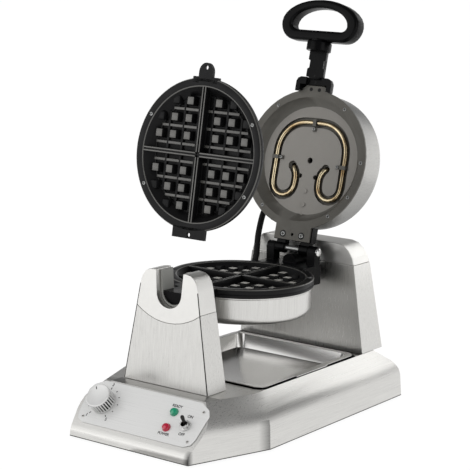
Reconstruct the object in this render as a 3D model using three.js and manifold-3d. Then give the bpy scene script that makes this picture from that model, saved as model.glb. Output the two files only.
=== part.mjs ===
// A counter-top waffle maker with one round iron that flips over between two towers.
// Lengths are millimetres. X points to the operator's right, Y to the rear and Z up.
// The origin lies on the counter, under the middle of the cooking iron.
// The lid stands open and the upper waffle grid hangs in front of it, taken off for cleaning.
import * as THREE from 'three';
import { mergeVertices } from 'three/addons/utils/BufferGeometryUtils.js';
import Module from 'manifold-3d';

const wasm = await Module();
wasm.setup();

// Facet counts
const turn_steps = 48;
const rod_steps = 16;
const small_steps = 8;
const bend_steps = 4;
const tube_sides = 8;

// Driving sizes: the rim of the round iron, the width of the casing and the height of the turning axis
const rim_radius = 102;
const base_width = 280;
const axis_height = 199;

// Towers, placed from the rim outwards
const front_tower_out = 66;
const rear_tower_out = 56;
const front_face = rim_radius + front_tower_out;
const rear_face = rim_radius + rear_tower_out;
const rear_depth = 56;

// Clearances and cuts shared by the whole machine
const seat_gap = 0.3;
const cut_overrun = 4;

// Base casing
const nose_reach = 78;
const rear_deck = 8;
const base_front = front_face + nose_reach;
const base_rear = rear_face + rear_depth + rear_deck;
const nose_side_step = 41.5;
const nose_width = base_width - 2 * nose_side_step;
const nose_length = 125;
const base_top = 72;
const base_foot_gap = 3;
const base_sheet = 1.5;
const lip_height = 14;
const lip_round = 6;
const lip_steps = 4;
const panel_run = 56;
const wall_draft = 2;
const wall_drop = 37;
const crease_inset = 19;
const crease_drop = 10.5;
const deck_inset = 32;
const shoulder_bow_shares = [0.12, 0.62];

// Bottom cover and feet
const cover_sheet = 1.2;
const cover_lift = 1;
const foot_radius = 13;
const foot_draft = 1.5;
const foot_side_inset = 52;
const foot_front_inset = 41;
const foot_rear_inset = 42;
const foot_side = base_width / 2 - foot_side_inset;
const foot_front = base_front - foot_front_inset;
const foot_rear = base_rear - foot_rear_inset;
const vent_count = 7;
const vent_pitch = 14;
const vent_width = 5;
const vent_length = 60;

// Well in the deck and the drip tray in it
const well_side_inset = 32;
const well_front_inset = 4;
const well_rear_out = 47;
const well_width = base_width - 2 * well_side_inset;
const well_front = rim_radius - well_front_inset;
const well_rear = rim_radius + well_rear_out;
const well_corner = 14;
const well_depth = 20;
const well_sheet = 1;
const well_flange = 8;
const tray_side_gap = 3.5;
const tray_end_gap = 3.2;
const tray_stand = 2.3;
const tray_wall = 1.2;
const tray_rim = 6;
const tray_draft = 5;
const tray_tab_width = 78;
const tray_tab_reach = 3;
const tray_tab_shift = 26;

// Front tower, which carries the front journal in a notch
const front_foot_width = 142;
const front_waist_width = 96;
const front_depth = 40;
const front_face_lean = 3;
const front_back_lean = 3;
const horn_rise = 29;
const horn_flat = 28;
const horn_shoulder = 21;
const tower_sheet = 1.5;
const cap_wall = 3;
const seam_radius = 86;
const seam_drop = 40.5;

// Journal, notch and its liner
const journal_radius = 17;
const journal_bore = 15;
const liner_wall = 2.7;
const liner_sink = 1.5;
const liner_depth = 25;
const notch_flare = 2.2;

// Rear tower, which carries the rear shaft
const rear_foot_inset = 31.5;
const rear_taper = 38;
const rear_foot_width = base_width - 2 * rear_foot_inset;
const rear_waist_width = rear_foot_width - rear_taper;
const rear_face_lean = 3;
const rear_back_lean = 14;
const rear_top_rise = 31;
const rear_corner = 29;
const rear_seam_rise = 1;

// Cooking iron
const flange_thickness = 8;
const rim_land = 11;
const cavity_radius = rim_radius - rim_land;
const cavity_depth = 14;
const cavity_wall_run = 10;
const cavity_floor_radius = cavity_radius - cavity_wall_run;
const grid_back_depth = 19.4;
const grid_wall = 4;
const divider_width = 6.5;
const divider_draft = 1.6;
const divider_clear = 0.4;
const divider_groove = 1.8;
const post_pitch_share = 0.2571;
const post_size_share = 0.44;
const post_foot_share = 0.573;
const post_pitch = cavity_radius * post_pitch_share;
const post_size = post_pitch * post_size_share;
const post_foot_size = post_pitch * post_foot_share;
const post_clear = 4.5;
const post_wall_gap = 2.2;
const rib_width = 3;
const rib_height = 3.4;
const grid_tab_width = 22.5;
const grid_tab_reach = 20;
const grid_tab_thickness = 5;
const grid_shoulder_width = 40;
const grid_shoulder_reach = 5;
const grid_foot_tab_width = 53;
const grid_foot_tab_reach = 10;
const grid_tab_hole = 3.2;
const grid_screw_inset = 6.6;
const grid_screw_share = 0.87;
const grid_screw_ring = rim_radius - grid_screw_inset;
const grid_screw_side = grid_screw_ring * grid_screw_share;
const grid_screw_hole = 2.2;

// Castings that hold the heating tubes
const casting_flange = 3;
const casting_wall_run = 11.5;
const casting_floor_radius = cavity_radius - casting_wall_run;
const casting_depth = 16.5;
const casting_bottom = 24;
const casting_wall = 3.5;
const casting_hole = 4.6;
const casting_pilot_hole = 3.6;
const pilot_side_share = 0.1275;
const pilot_drop_share = 0.2314;
const casting_pilot_side = rim_radius * pilot_side_share;
const casting_pilot_drop = rim_radius * pilot_drop_share;
const boss_drop_shares = [0.441, 0.637, 0.814];
const casting_boss_radius = 3.6;
const casting_boss_height = 1.4;
const casting_screw_inset = 7;
const casting_screw_ring = rim_radius - casting_screw_inset;
const casting_screw_angles = [128.6, 55, 2.5, -29.5, -54.6, -128.7];
const casting_screw_hole = 2.2;
const casting_tab_width = 30;
const casting_tab_spread = 7;
const casting_tab_hole = 2;
const casting_tab_hole_side = 7;
const casting_tab_reach = 5.5;
const casting_heel_width = 60;
const casting_heel_reach = 17;
const heel_screw_side = 15.8;
const heel_screw_back = 8;
const heel_slot_radius = 2.5;

// Heating tube, bent in one plane with both ends turned down through the casting
const tube_radius = 3.25;
const tube_sink = 0.5;
const trench_width = 14;
const trench_play = 0.35;
const heater_shares = {
  crown_side: 0.5735,
  crown_top: 0.5441,
  crown_bend: 0.4314,
  hook_radius: 0.1863,
  hook_drop: 0.3529,
  leg_end_side: 0.2804,
  leg_end_drop: 0.098,
  leg_top_drop: 0.2157,
};
const crown_side = rim_radius * heater_shares.crown_side;
const crown_top = rim_radius * heater_shares.crown_top;
const crown_bend = rim_radius * heater_shares.crown_bend;
const hook_radius = rim_radius * heater_shares.hook_radius;
const hook_drop = rim_radius * heater_shares.hook_drop;
const leg_end_side = rim_radius * heater_shares.leg_end_side;
const leg_end_drop = rim_radius * heater_shares.leg_end_drop;
const leg_top_drop = rim_radius * heater_shares.leg_top_drop;
const terminal_depth = 13;
const terminal_hole = 4.6;
const clip_width = 5.5;
const clip_foot = 13;
const clip_sheet = 1.2;
const clip_shift = 5;

// Steel shells of the iron
const drum_step = 3;
const drum_radius = rim_radius - drum_step;
const drum_depth = 42.7;
const drum_round = 12;
const drum_sheet = 1.2;
const lid_drum_depth = 57;

// Hinge between the halves
const hinge_out = 29;
const hinge_back = rim_radius + hinge_out;
const hinge_rise = 18;
const lid_opening = 103;
const knuckle_radius = 8;
const pin_radius = 4;
const pin_play = 0.3;
const pin_reach = 45;
const pin_head_radius = 6;
const pin_head_height = 3;
const ear_inner = 28.4;
const ear_outer = 42;
const knuckle_inner = 13;
const knuckle_outer = 28;
const hinge_block_overhang = 11;
const hinge_block_back = hinge_back + hinge_block_overhang;
const hinge_block_low = 30;
const hinge_block_high = 1;
const bracket_half = 32;
const bracket_back = hinge_back - hinge_block_overhang;
const bracket_height = 14;

// Rear shaft and its bearing
const shaft_radius = 12;
const shaft_bore = 8;
const shaft_out = 19;
const shaft_reach = 35;
const shaft_start = rim_radius + shaft_out;
const shaft_end = rear_face + shaft_reach;
const bearing_wall = 3.7;
const bearing_flange = 5;
const bearing_flange_thickness = 3;
const bearing_length = 20;
const bearing_play = 0.3;
const collar_step = 20;
const collar_start = rear_face + collar_step;
const collar_width = 8;
const collar_wall = 7;

// Front journal and handle
const half_gap = 0.15;
const yoke_radius = 30;
const yoke_corner = 7;
const yoke_length = 17;
const pocket_play = 1.5;
const flare_radius = 14.5;
const flare_length = 12;
const neck_radius = 11.5;
const neck_length = 13;
const boss_radius = 14.5;
const boss_length = 13;
const journal_short = 2;
const stop_radius = 18;
const stop_length = 13.5;
const web_half = 10;
const web_height = 13.5;
const yoke_end = rim_radius + yoke_length;
const flare_end = yoke_end + flare_length;
const neck_end = flare_end + neck_length;
const boss_end = neck_end + boss_length;
const grip_start = boss_end + stop_length;
const grip_width = 130;
const grip_length = 60.5;
const grip_thickness = 24;
const grip_round = 6;
const grip_heel_half = 40;
const grip_belly = 25.5;
const grip_bow_share = 0.55;
const grip_hole_half = 46.5;
const grip_hole_heel_half = 37;
const grip_hole_belly = 8;
const grip_heel_depth = 15.5;
const grip_arch_depth = 12;
const grip_end = grip_start + grip_length;
const grip_hole_start = grip_start + grip_heel_depth;
const grip_hole_end = grip_end - grip_arch_depth;

// Lead between the halves
const lead_radius = 5;
const lead_play = 0.6;
const lead_gland_radius = 8;
const lead_gland_flange = 10;
const lead_gland_length = 9;
const lead_lid_point = [-68, 43.6];
const lead_drum_point = [-50, -27];
const lead_hang = [-5, 3, -5];
const lead_bow = [-1.5, 8, -7];

// Upper grid, shown taken off
const loose_grid_out = 9;
const loose_grid_rise = 48;
const loose_grid_front = rim_radius + loose_grid_out;
const loose_grid_height = axis_height + hinge_back + loose_grid_rise;
const loose_grid_lean = 8.2;

// Control panel
const plate_sheet = 1;
const plate_shoulder = 17.5;
const plate_wing = 1.5;
const plate_top_half = nose_width / 2 - plate_shoulder;
const plate_side_half = nose_width / 2 + plate_wing;
const plate_foot_half = nose_width / 2 - plate_wing;
const plate_low = 12;
const plate_high = 78;
const plate_cut = 17;
const plate_corner = 14;
const knob_inset = 15;
const knob_side = plate_top_half - knob_inset;
const knob_up = 46;
const knob_radius = 17.5;
const knob_face_radius = 16.2;
const knob_height = 18;
const knob_skirt = 1.5;
const knob_lift = 1.2;
const knob_ribs = 24;
const knob_rib_depth = 0.9;
const spindle_radius = 3;
const spindle_play = 0.35;
const thermostat_radius = 16;
const thermostat_length = 28;
const lamp_inset = 34.5;
const lamp_side = plate_top_half - lamp_inset;
const ready_lamp_up = 56;
const power_lamp_up = 32.6;
const lamp_radius = 6;
const lamp_stem = 4;
const lamp_height = 4.5;
const lamp_stem_length = 14;
const switch_inset = 8;
const switch_side = plate_top_half - switch_inset;
const switch_up = 41;
const bushing_radius = 6.2;
const bushing_nut = 8.4;
const bushing_nut_thickness = 2.4;
const bushing_height = 8;
const bushing_bore = 4.1;
const lever_length = 18;
const lever_root = 1.7;
const lever_tip = 2.6;
const lever_ball = 2.9;
const lever_pivot_up = 1.6;
const lever_tilt = 17;
const switch_body_width = 22;
const switch_body_length = 30;
const switch_body_depth = 22;

// Terminal block and cord inlet
const block_width = 60;
const block_depth = 24;
const block_height = 22;
const block_inset = 72;
const block_rear = base_rear - block_inset;
const block_slot = 5;
const block_poles = 5;
const inlet_side = base_width / 4;
const inlet_height = 32;
const inlet_radius = 9;
const inlet_nut = 13;
const inlet_nut_thickness = 5;
const inlet_bore = 5;
const inlet_length = 16;
const wire_hole = 11;

// Worked out from the sizes above
const deg = Math.PI / 180;
const far = base_front + base_rear + base_width;
const panel_slope = Math.atan2(base_top - lip_height, panel_run);
const liner_bore = journal_radius + seat_gap;
const notch_radius = liner_bore + liner_wall + seat_gap;
const rim_plane = flange_thickness + seat_gap;
const tower_foot = base_top + seat_gap;

// Materials
const finish = (color, roughness, metalness) =>
  new THREE.MeshStandardMaterial({ color, roughness, metalness });
const brushed_steel = finish(0xc9cac8, 0.34, 0.95);
const satin_cast = finish(0xd4d5d3, 0.42, 0.85);
const bright_steel = finish(0xdcdddc, 0.18, 1);
const nonstick = finish(0x26272a, 0.48, 0.35);
const grey_casting = finish(0x8d908e, 0.6, 0.4);
const heater_brass = finish(0xb9a06a, 0.35, 0.9);
const black_phenolic = finish(0x1c1c1e, 0.45, 0);
const black_rubber = finish(0x202022, 0.8, 0);
const label_satin = finish(0xe2e3e1, 0.5, 0.4);
const turned_aluminium = finish(0xcfd0d2, 0.3, 0.9);
const green_lens = finish(0x1f7a4a, 0.15, 0);
const red_lens = finish(0xb3242a, 0.15, 0);
const zinc_plate = finish(0xb8bcc0, 0.4, 0.8);

// Turning three.js geometry into solids and back
function signedVolume(position, index) {
  const a = new THREE.Vector3();
  const b = new THREE.Vector3();
  const c = new THREE.Vector3();
  let sum = 0;
  for (let i = 0; i < index.length; i += 3) {
    a.fromBufferAttribute(position, index[i]);
    b.fromBufferAttribute(position, index[i + 1]);
    c.fromBufferAttribute(position, index[i + 2]);
    sum += a.dot(b.cross(c));
  }
  return sum;
}

function solid(geometry) {
  const bare = geometry.clone();
  bare.deleteAttribute('normal');
  bare.deleteAttribute('uv');
  const merged = mergeVertices(bare);
  const raw = merged.index.array;
  const kept = [];
  for (let i = 0; i < raw.length; i += 3) {
    const [a, b, c] = [raw[i], raw[i + 1], raw[i + 2]];
    if (a !== b && b !== c && c !== a) kept.push(a, b, c);
  }
  const outward = signedVolume(merged.attributes.position, kept) > 0;
  if (!outward) kept.reverse();
  const mesh = new wasm.Mesh({
    numProp: 3,
    vertProperties: Float32Array.from(merged.attributes.position.array),
    triVerts: Uint32Array.from(kept),
  });
  return new wasm.Manifold(mesh);
}

function surface(shape) {
  const mesh = shape.getMesh();
  const geometry = new THREE.BufferGeometry();
  geometry.setAttribute('position', new THREE.BufferAttribute(mesh.vertProperties, 3));
  geometry.setIndex(new THREE.BufferAttribute(mesh.triVerts, 1));
  geometry.computeVertexNormals();
  return geometry;
}

function piece(parent, name, material, shape) {
  const mesh = new THREE.Mesh(surface(shape), material);
  mesh.name = name;
  parent.add(mesh);
  return mesh;
}

const joined = (shapes) => shapes.reduce((sum, shape) => sum.add(shape));
const cutAll = (body, cutters) => cutters.reduce((rest, cutter) => rest.subtract(cutter), body);

// Basic forms
function revolved(profile, steps = turn_steps) {
  const points = profile.map(([radius, height]) => new THREE.Vector2(radius, height));
  return solid(new THREE.LatheGeometry(points, steps).rotateX(90 * deg));
}

function block([x0, x1], [y0, y1], [z0, z1]) {
  const box = new THREE.BoxGeometry(x1 - x0, y1 - y0, z1 - z0);
  return solid(box.translate((x0 + x1) / 2, (y0 + y1) / 2, (z0 + z1) / 2));
}

function rodAlongX(radius, [x0, x1], y, z, steps = rod_steps) {
  const rod = new THREE.CylinderGeometry(radius, radius, x1 - x0, steps).rotateZ(90 * deg);
  return solid(rod.translate((x0 + x1) / 2, y, z));
}

function rodAlongY(radius, [y0, y1], x, z, steps = rod_steps) {
  const rod = new THREE.CylinderGeometry(radius, radius, y1 - y0, steps);
  return solid(rod.translate(x, (y0 + y1) / 2, z));
}

function rodAlongZ(radius, [z0, z1], x, y, steps = rod_steps) {
  const rod = new THREE.CylinderGeometry(radius, radius, z1 - z0, steps).rotateX(90 * deg);
  return solid(rod.translate(x, y, (z0 + z1) / 2));
}

function outlineOf(points) {
  return new THREE.Shape(points.map(([x, y]) => new THREE.Vector2(x, y)));
}

function prismAlongX(outline, [x0, x1]) {
  const prism = new THREE.ExtrudeGeometry(outline, {
    depth: x1 - x0,
    bevelEnabled: false,
    curveSegments: bend_steps,
  });
  return solid(prism.rotateX(90 * deg).rotateZ(90 * deg).translate(x0, 0, 0));
}

function prismAlongY(outline, [y0, y1], steps = bend_steps) {
  const prism = new THREE.ExtrudeGeometry(outline, {
    depth: y1 - y0,
    bevelEnabled: false,
    curveSegments: steps,
  });
  return solid(prism.rotateX(90 * deg).translate(0, y1, 0));
}

function prismAlongZ(outline, [z0, z1]) {
  const prism = new THREE.ExtrudeGeometry(outline, {
    depth: z1 - z0,
    bevelEnabled: false,
    curveSegments: bend_steps,
  });
  return solid(prism.translate(0, 0, z0));
}

function roundedBox([x0, x1], [y0, y1], corner) {
  const shape = new THREE.Shape();
  shape.moveTo(x0 + corner, y0);
  shape.absarc(x1 - corner, y0 + corner, corner, -90 * deg, 0, false);
  shape.absarc(x1 - corner, y1 - corner, corner, 0, 90 * deg, false);
  shape.absarc(x0 + corner, y1 - corner, corner, 90 * deg, 180 * deg, false);
  shape.absarc(x0 + corner, y0 + corner, corner, 180 * deg, 270 * deg, false);
  return shape;
}

// A pan wall: the same rounded outline, drawn in evenly towards its foot
function taperedPan([x0, x1], [y0, y1], corner, [z0, z1], draft) {
  const unit = new THREE.ExtrudeGeometry(roundedBox([x0, x1], [y0, y1], corner), {
    depth: z1 - z0,
    bevelEnabled: false,
    curveSegments: bend_steps,
  });
  const position = unit.attributes.position;
  const middle = new THREE.Vector2((x0 + x1) / 2, (y0 + y1) / 2);
  const half = new THREE.Vector2((x1 - x0) / 2, (y1 - y0) / 2);
  for (let i = 0; i < position.count; i += 1) {
    const drawn = draft * (1 - position.getZ(i) / (z1 - z0));
    const fx = 1 - drawn / half.x;
    const fy = 1 - drawn / half.y;
    position.setX(i, middle.x + (position.getX(i) - middle.x) * fx);
    position.setY(i, middle.y + (position.getY(i) - middle.y) * fy);
  }
  return solid(unit.translate(0, 0, z0));
}

// Base: every wall is the same drafted, shouldered profile swept along its own line
function wallProfile(inset, floor) {
  const shape = new THREE.Shape();
  const wall_top = base_top - wall_drop - inset;
  const crease = base_top - crease_drop - inset;
  const bow_x = wall_draft + shoulder_bow_shares[0] * (crease_inset - wall_draft);
  const bow_z = wall_top + shoulder_bow_shares[1] * (crease - wall_top);
  shape.moveTo(-far, floor);
  shape.lineTo(-inset, floor);
  shape.lineTo(-inset - wall_draft, wall_top);
  shape.quadraticCurveTo(-inset - bow_x, bow_z, -inset - crease_inset, crease);
  shape.lineTo(-inset - deck_inset, base_top - inset);
  shape.lineTo(-far, base_top - inset);
  return shape;
}

function wallSide(inset, floor, heading, x, y) {
  const side = prismAlongY(wallProfile(inset, floor), [-far, far]);
  return side.rotate([0, 0, heading / deg]).translate([x, y, 0]);
}

function noseProfile(inset, floor) {
  const drop = inset / Math.cos(panel_slope);
  const low = lip_height + inset * Math.tan(panel_slope) - drop;
  const run = (base_top - inset - low) / Math.tan(panel_slope);
  const front = -base_front + inset;
  const bend = new THREE.QuadraticBezierCurve(
    new THREE.Vector2(front + lip_round * Math.cos(panel_slope), low + lip_round * Math.sin(panel_slope)),
    new THREE.Vector2(front, low),
    new THREE.Vector2(front, low - lip_round),
  ).getPoints(lip_steps);
  return outlineOf([
    [front, floor],
    [far, floor],
    [far, base_top - inset],
    [front + run, base_top - inset],
    ...bend.map((point) => [point.x, point.y]),
  ]);
}

function baseForm(inset, floor) {
  const flare = Math.atan2((base_width - nose_width) / 2, nose_length);
  const side = base_width / 2;
  const kink = -base_front + nose_length;
  return wallSide(inset, floor, 0, side, 0)
    .intersect(wallSide(inset, floor, 180 * deg, -side, 0))
    .intersect(wallSide(inset, floor, -flare, side, kink))
    .intersect(wallSide(inset, floor, 180 * deg + flare, -side, kink))
    .intersect(wallSide(inset, floor, 90 * deg, 0, base_rear))
    .intersect(prismAlongX(noseProfile(inset, floor), [-far, far]));
}

const well_side = well_width / 2;
const panelPoint = (shape) => shape
  .rotate([panel_slope / deg, 0, 0])
  .translate([0, -base_front, lip_height]);

function panelHoles(clearance) {
  const span = [-panel_run, cut_overrun];
  return [
    rodAlongZ(spindle_radius + spindle_play + clearance, span, -knob_side, knob_up),
    rodAlongZ(lamp_stem + clearance, span, lamp_side, ready_lamp_up),
    rodAlongZ(lamp_stem + clearance, span, lamp_side, power_lamp_up),
    rodAlongZ(bushing_radius + clearance, span, switch_side, switch_up),
  ];
}

const panel_holes = panelHoles(seat_gap);

function makeBaseShell() {
  const shell = baseForm(0, base_foot_gap).subtract(baseForm(base_sheet, -cut_overrun));
  const deck_cut = [base_top - base_sheet - cut_overrun, base_top + cut_overrun];
  return cutAll(shell, [
    prismAlongZ(roundedBox([-well_side, well_side], [-well_front, well_rear], well_corner), deck_cut),
    rodAlongZ(wire_hole, deck_cut, 0, rear_face + rear_depth / 2),
    rodAlongY(inlet_radius + seat_gap, [base_rear - deck_inset, base_rear + cut_overrun],
      -inlet_side, inlet_height),
    ...panel_holes.map(panelPoint),
  ]);
}

const cover_floor = base_foot_gap + cover_lift;

function makeBottomCover() {
  const inset = base_sheet + seat_gap;
  const sheet = baseForm(inset, -cut_overrun)
    .intersect(block([-far, far], [-far, far], [cover_floor, cover_floor + cover_sheet]));
  const vents = [];
  const middle = (vent_count - 1) / 2;
  for (let i = 0; i < vent_count; i += 1) {
    const y = (i - middle) * vent_pitch;
    for (const x of [-foot_side / 2, foot_side / 2]) {
      vents.push(block([x - vent_length / 2, x + vent_length / 2],
        [y - vent_width / 2, y + vent_width / 2],
        [cover_floor - cut_overrun, cover_floor + cover_sheet + cut_overrun]));
    }
  }
  return cutAll(sheet, vents);
}

function makeFoot(x, y) {
  const top = cover_floor - seat_gap;
  const profile = [[0, 0], [foot_radius - foot_draft, 0], [foot_radius, top], [0, top]];
  return revolved(profile, rod_steps).translate([x, y, 0]);
}

function makeTrayWell() {
  const under = base_top - base_sheet - seat_gap;
  const side = well_side - seat_gap;
  const spanY = [-well_front + seat_gap, well_rear - seat_gap];
  const floor = base_top - well_depth;
  const flange = prismAlongZ(roundedBox([-side + well_corner / 4, side - well_corner / 4],
    [spanY[0] - well_flange, spanY[1] + well_flange], well_corner), [under - well_sheet, under]);
  const outer = prismAlongZ(roundedBox([-side, side], spanY, well_corner),
    [floor - well_sheet, base_top - seat_gap]);
  const inner = prismAlongZ(roundedBox([-side + well_sheet, side - well_sheet],
    [spanY[0] + well_sheet, spanY[1] - well_sheet], well_corner - well_sheet),
  [floor, base_top + cut_overrun]);
  return flange.add(outer).subtract(inner);
}

const tray_floor = base_top - well_depth + seat_gap;
const tray_top = base_top + tray_stand;
const tray_half = well_side - tray_side_gap;
const tray_span = [-well_front + tray_end_gap, well_rear - tray_end_gap];

function makeDripTray() {
  const inner_half = tray_half - tray_rim;
  const inner_span = [tray_span[0] + tray_rim, tray_span[1] - tray_rim];
  const corner = well_corner - tray_wall;
  const rim = prismAlongZ(roundedBox([-tray_half, tray_half], tray_span, well_corner),
    [tray_top - tray_wall, tray_top]);
  const tab = block([tray_half - tray_rim, tray_half + tray_tab_reach],
    [tray_tab_shift - tray_tab_width / 2, tray_tab_shift + tray_tab_width / 2],
    [tray_top - tray_wall, tray_top]);
  const pan = taperedPan([-inner_half, inner_half], inner_span, corner,
    [tray_floor, tray_top - tray_wall / 2], tray_draft);
  const hollow = taperedPan([-inner_half + tray_wall, inner_half - tray_wall],
    [inner_span[0] + tray_wall, inner_span[1] - tray_wall], corner - tray_wall,
    [tray_floor + tray_wall, tray_top + cut_overrun], tray_draft);
  return joined([rim, tab, pan]).subtract(hollow);
}

// Towers: an outline seen from the front, given depth between two leaning faces
function leaningBody(outline, face, back, rise) {
  const unit = new THREE.ExtrudeGeometry(outline, {
    depth: 1,
    bevelEnabled: false,
    curveSegments: bend_steps,
  });
  unit.rotateX(90 * deg).translate(0, 1, 0);
  const position = unit.attributes.position;
  for (let i = 0; i < position.count; i += 1) {
    const up = (position.getZ(i) - tower_foot) / rise;
    const front = face.foot + up * face.lean;
    const rear = back.foot + up * back.lean;
    position.setY(i, front + position.getY(i) * (rear - front));
  }
  return solid(unit);
}

function frontTowerForm(inset, floor) {
  const waist = axis_height + horn_rise - horn_shoulder;
  const top = axis_height + horn_rise - inset;
  const foot_half = front_foot_width / 2 - inset;
  const waist_half = front_waist_width / 2 - inset;
  const slope = (foot_half - waist_half) / (waist - tower_foot);
  const low_half = foot_half + slope * (tower_foot - floor);
  const shape = new THREE.Shape();
  shape.moveTo(-low_half, floor);
  shape.lineTo(low_half, floor);
  shape.lineTo(waist_half, waist);
  shape.quadraticCurveTo(waist_half - slope * (top - waist), top, horn_flat, top);
  shape.lineTo(-horn_flat, top);
  shape.quadraticCurveTo(-waist_half + slope * (top - waist), top, -waist_half, waist);
  const rise = waist - tower_foot;
  return leaningBody(shape,
    { foot: -front_face + inset, lean: front_face_lean },
    { foot: -front_face + front_depth - inset, lean: -front_back_lean }, rise);
}

function notchForm(radius, [y0, y1], top) {
  const flare = notch_flare * (top - axis_height) / horn_rise;
  const shape = new THREE.Shape();
  shape.moveTo(radius + flare, top);
  shape.lineTo(-radius - flare, top);
  shape.lineTo(-radius, axis_height);
  shape.absarc(0, axis_height, radius, 180 * deg, 360 * deg, false);
  return prismAlongY(shape, [y0, y1], turn_steps / 2);
}

const front_cut = [-front_face - cut_overrun, -front_face + front_depth + cut_overrun];
const horn_top = axis_height + horn_rise;
const seam_height = axis_height - seam_drop + seam_radius;
const capRound = (radius) => rodAlongY(radius, front_cut, 0, seam_height, turn_steps);

function makeFrontTowerShell() {
  return frontTowerForm(0, tower_foot)
    .subtract(frontTowerForm(tower_sheet, tower_foot - cut_overrun))
    .subtract(capRound(seam_radius + seat_gap));
}

function makeFrontTowerCap() {
  const open_top = horn_top + cut_overrun;
  const outside = frontTowerForm(0, tower_foot)
    .subtract(notchForm(notch_radius, front_cut, open_top));
  const inside = frontTowerForm(cap_wall, tower_foot - cut_overrun)
    .subtract(notchForm(notch_radius + cap_wall, front_cut, open_top));
  return outside.subtract(inside).intersect(capRound(seam_radius));
}

const front_back = -front_face + front_depth;
const liner_span = [front_back - liner_depth - front_back_lean, front_back - front_back_lean];

function makeNotchLiner() {
  const top = horn_top - liner_sink;
  return notchForm(notch_radius - seat_gap, liner_span, top)
    .subtract(notchForm(liner_bore, front_cut, top + cut_overrun));
}

function rearTowerForm(inset, floor) {
  const waist = axis_height + rear_seam_rise;
  const top = axis_height + rear_top_rise - inset;
  const foot_half = rear_foot_width / 2 - inset;
  const waist_half = rear_waist_width / 2 - inset;
  const slope = (foot_half - waist_half) / (waist - tower_foot);
  const low_half = foot_half + slope * (tower_foot - floor);
  const shape = new THREE.Shape();
  shape.moveTo(-low_half, floor);
  shape.lineTo(low_half, floor);
  shape.lineTo(waist_half, waist);
  shape.bezierCurveTo(waist_half - slope * rear_corner / 2, waist + rear_corner / 2,
    waist_half - rear_corner / 2, top, waist_half - rear_corner, top);
  shape.lineTo(-waist_half + rear_corner, top);
  shape.bezierCurveTo(-waist_half + rear_corner / 2, top,
    -waist_half + slope * rear_corner / 2, waist + rear_corner / 2, -waist_half, waist);
  const rise = waist - tower_foot;
  return leaningBody(shape,
    { foot: rear_face + inset, lean: -rear_face_lean },
    { foot: rear_face + rear_depth - inset, lean: -rear_back_lean }, rise);
}

const rear_seam = axis_height + rear_seam_rise;
const bearing_radius = shaft_radius + bearing_play + bearing_wall;
const rear_wall_at_axis = rear_face - rear_face_lean - 2 * seat_gap;
const bearing_hole = rodAlongY(bearing_radius + seat_gap,
  [rear_face - cut_overrun - rear_face_lean, rear_face + bearing_length], 0, axis_height);

function makeRearTowerShell() {
  return rearTowerForm(0, tower_foot)
    .subtract(rearTowerForm(tower_sheet, tower_foot - cut_overrun))
    .intersect(block([-far, far], [-far, far], [0, rear_seam]))
    .subtract(bearing_hole);
}

function makeRearTowerCap() {
  return rearTowerForm(0, tower_foot)
    .subtract(rearTowerForm(cap_wall, tower_foot - cut_overrun))
    .intersect(block([-far, far], [-far, far], [rear_seam + seat_gap, far]))
    .subtract(bearing_hole);
}

function makeRearBearing() {
  const face = rear_wall_at_axis - seat_gap;
  const flange = [face - bearing_flange_thickness, face];
  return rodAlongY(bearing_radius, [flange[0], face + bearing_length], 0, axis_height)
    .add(rodAlongY(bearing_radius + bearing_flange, flange, 0, axis_height))
    .subtract(rodAlongY(shaft_radius + bearing_play,
      [flange[0] - cut_overrun, face + bearing_length + cut_overrun], 0, axis_height));
}

// Waffle grid: parting plane at zero, cooking face up
function cavityFill(floor, top, margin) {
  const slope = (cavity_radius - cavity_floor_radius) / cavity_depth;
  const radiusAt = (height) => cavity_radius + slope * height + margin;
  return revolved([[0, floor], [radiusAt(floor), floor], [radiusAt(top), top], [0, top]]);
}

function draftedBar(length, top_width, foot_width, [z0, z1]) {
  const outline = outlineOf([
    [-foot_width / 2, z0], [foot_width / 2, z0], [top_width / 2, z1], [-top_width / 2, z1],
  ]);
  return prismAlongY(outline, [-length / 2, length / 2]);
}

const quarterTurn = (shape) => shape.rotate([0, 0, 90]);

function gridCross() {
  const sunk = -cavity_depth - post_clear / 4;
  const bar = draftedBar(2 * rim_radius, divider_width, divider_width + 2 * divider_draft,
    [sunk, -divider_clear]);
  const groove = draftedBar(2 * rim_radius, divider_width / 3, divider_width / 4,
    [-divider_clear - divider_groove, cut_overrun]);
  return bar.add(quarterTurn(bar)).subtract(groove).subtract(quarterTurn(groove));
}

function gridRibs() {
  const low = -cavity_depth - post_clear / 4;
  const ribs = [];
  for (const k of [-2.5, -1.5, -0.5, 0.5, 1.5, 2.5]) {
    const bar = draftedBar(2 * rim_radius, rib_width, rib_width * 1.4, [low, -cavity_depth + rib_height]);
    ribs.push(bar.translate([k * post_pitch, 0, 0]));
    ribs.push(quarterTurn(bar).translate([0, k * post_pitch, 0]));
  }
  return joined(ribs);
}

function gridPosts() {
  const low = -cavity_depth - post_clear / 4;
  const height = -post_clear - low;
  const half_diagonal = Math.SQRT1_2;
  const unit = new THREE.CylinderGeometry(post_size * half_diagonal, post_foot_size * half_diagonal,
    height, 4).rotateY(45 * deg).rotateX(90 * deg).translate(0, 0, low + height / 2);
  const post = solid(unit);
  const posts = [];
  for (const [i, j] of [[1, 1], [1, 2], [2, 1], [1, 3], [3, 1], [2, 2], [2, 3], [3, 2]]) {
    for (const [sx, sy] of [[1, 1], [-1, 1], [-1, -1], [1, -1]]) {
      posts.push(post.translate([sx * i * post_pitch, sy * j * post_pitch, 0]));
    }
  }
  return joined(posts).intersect(cavityFill(low, -post_clear + cut_overrun, -post_wall_gap));
}

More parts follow.
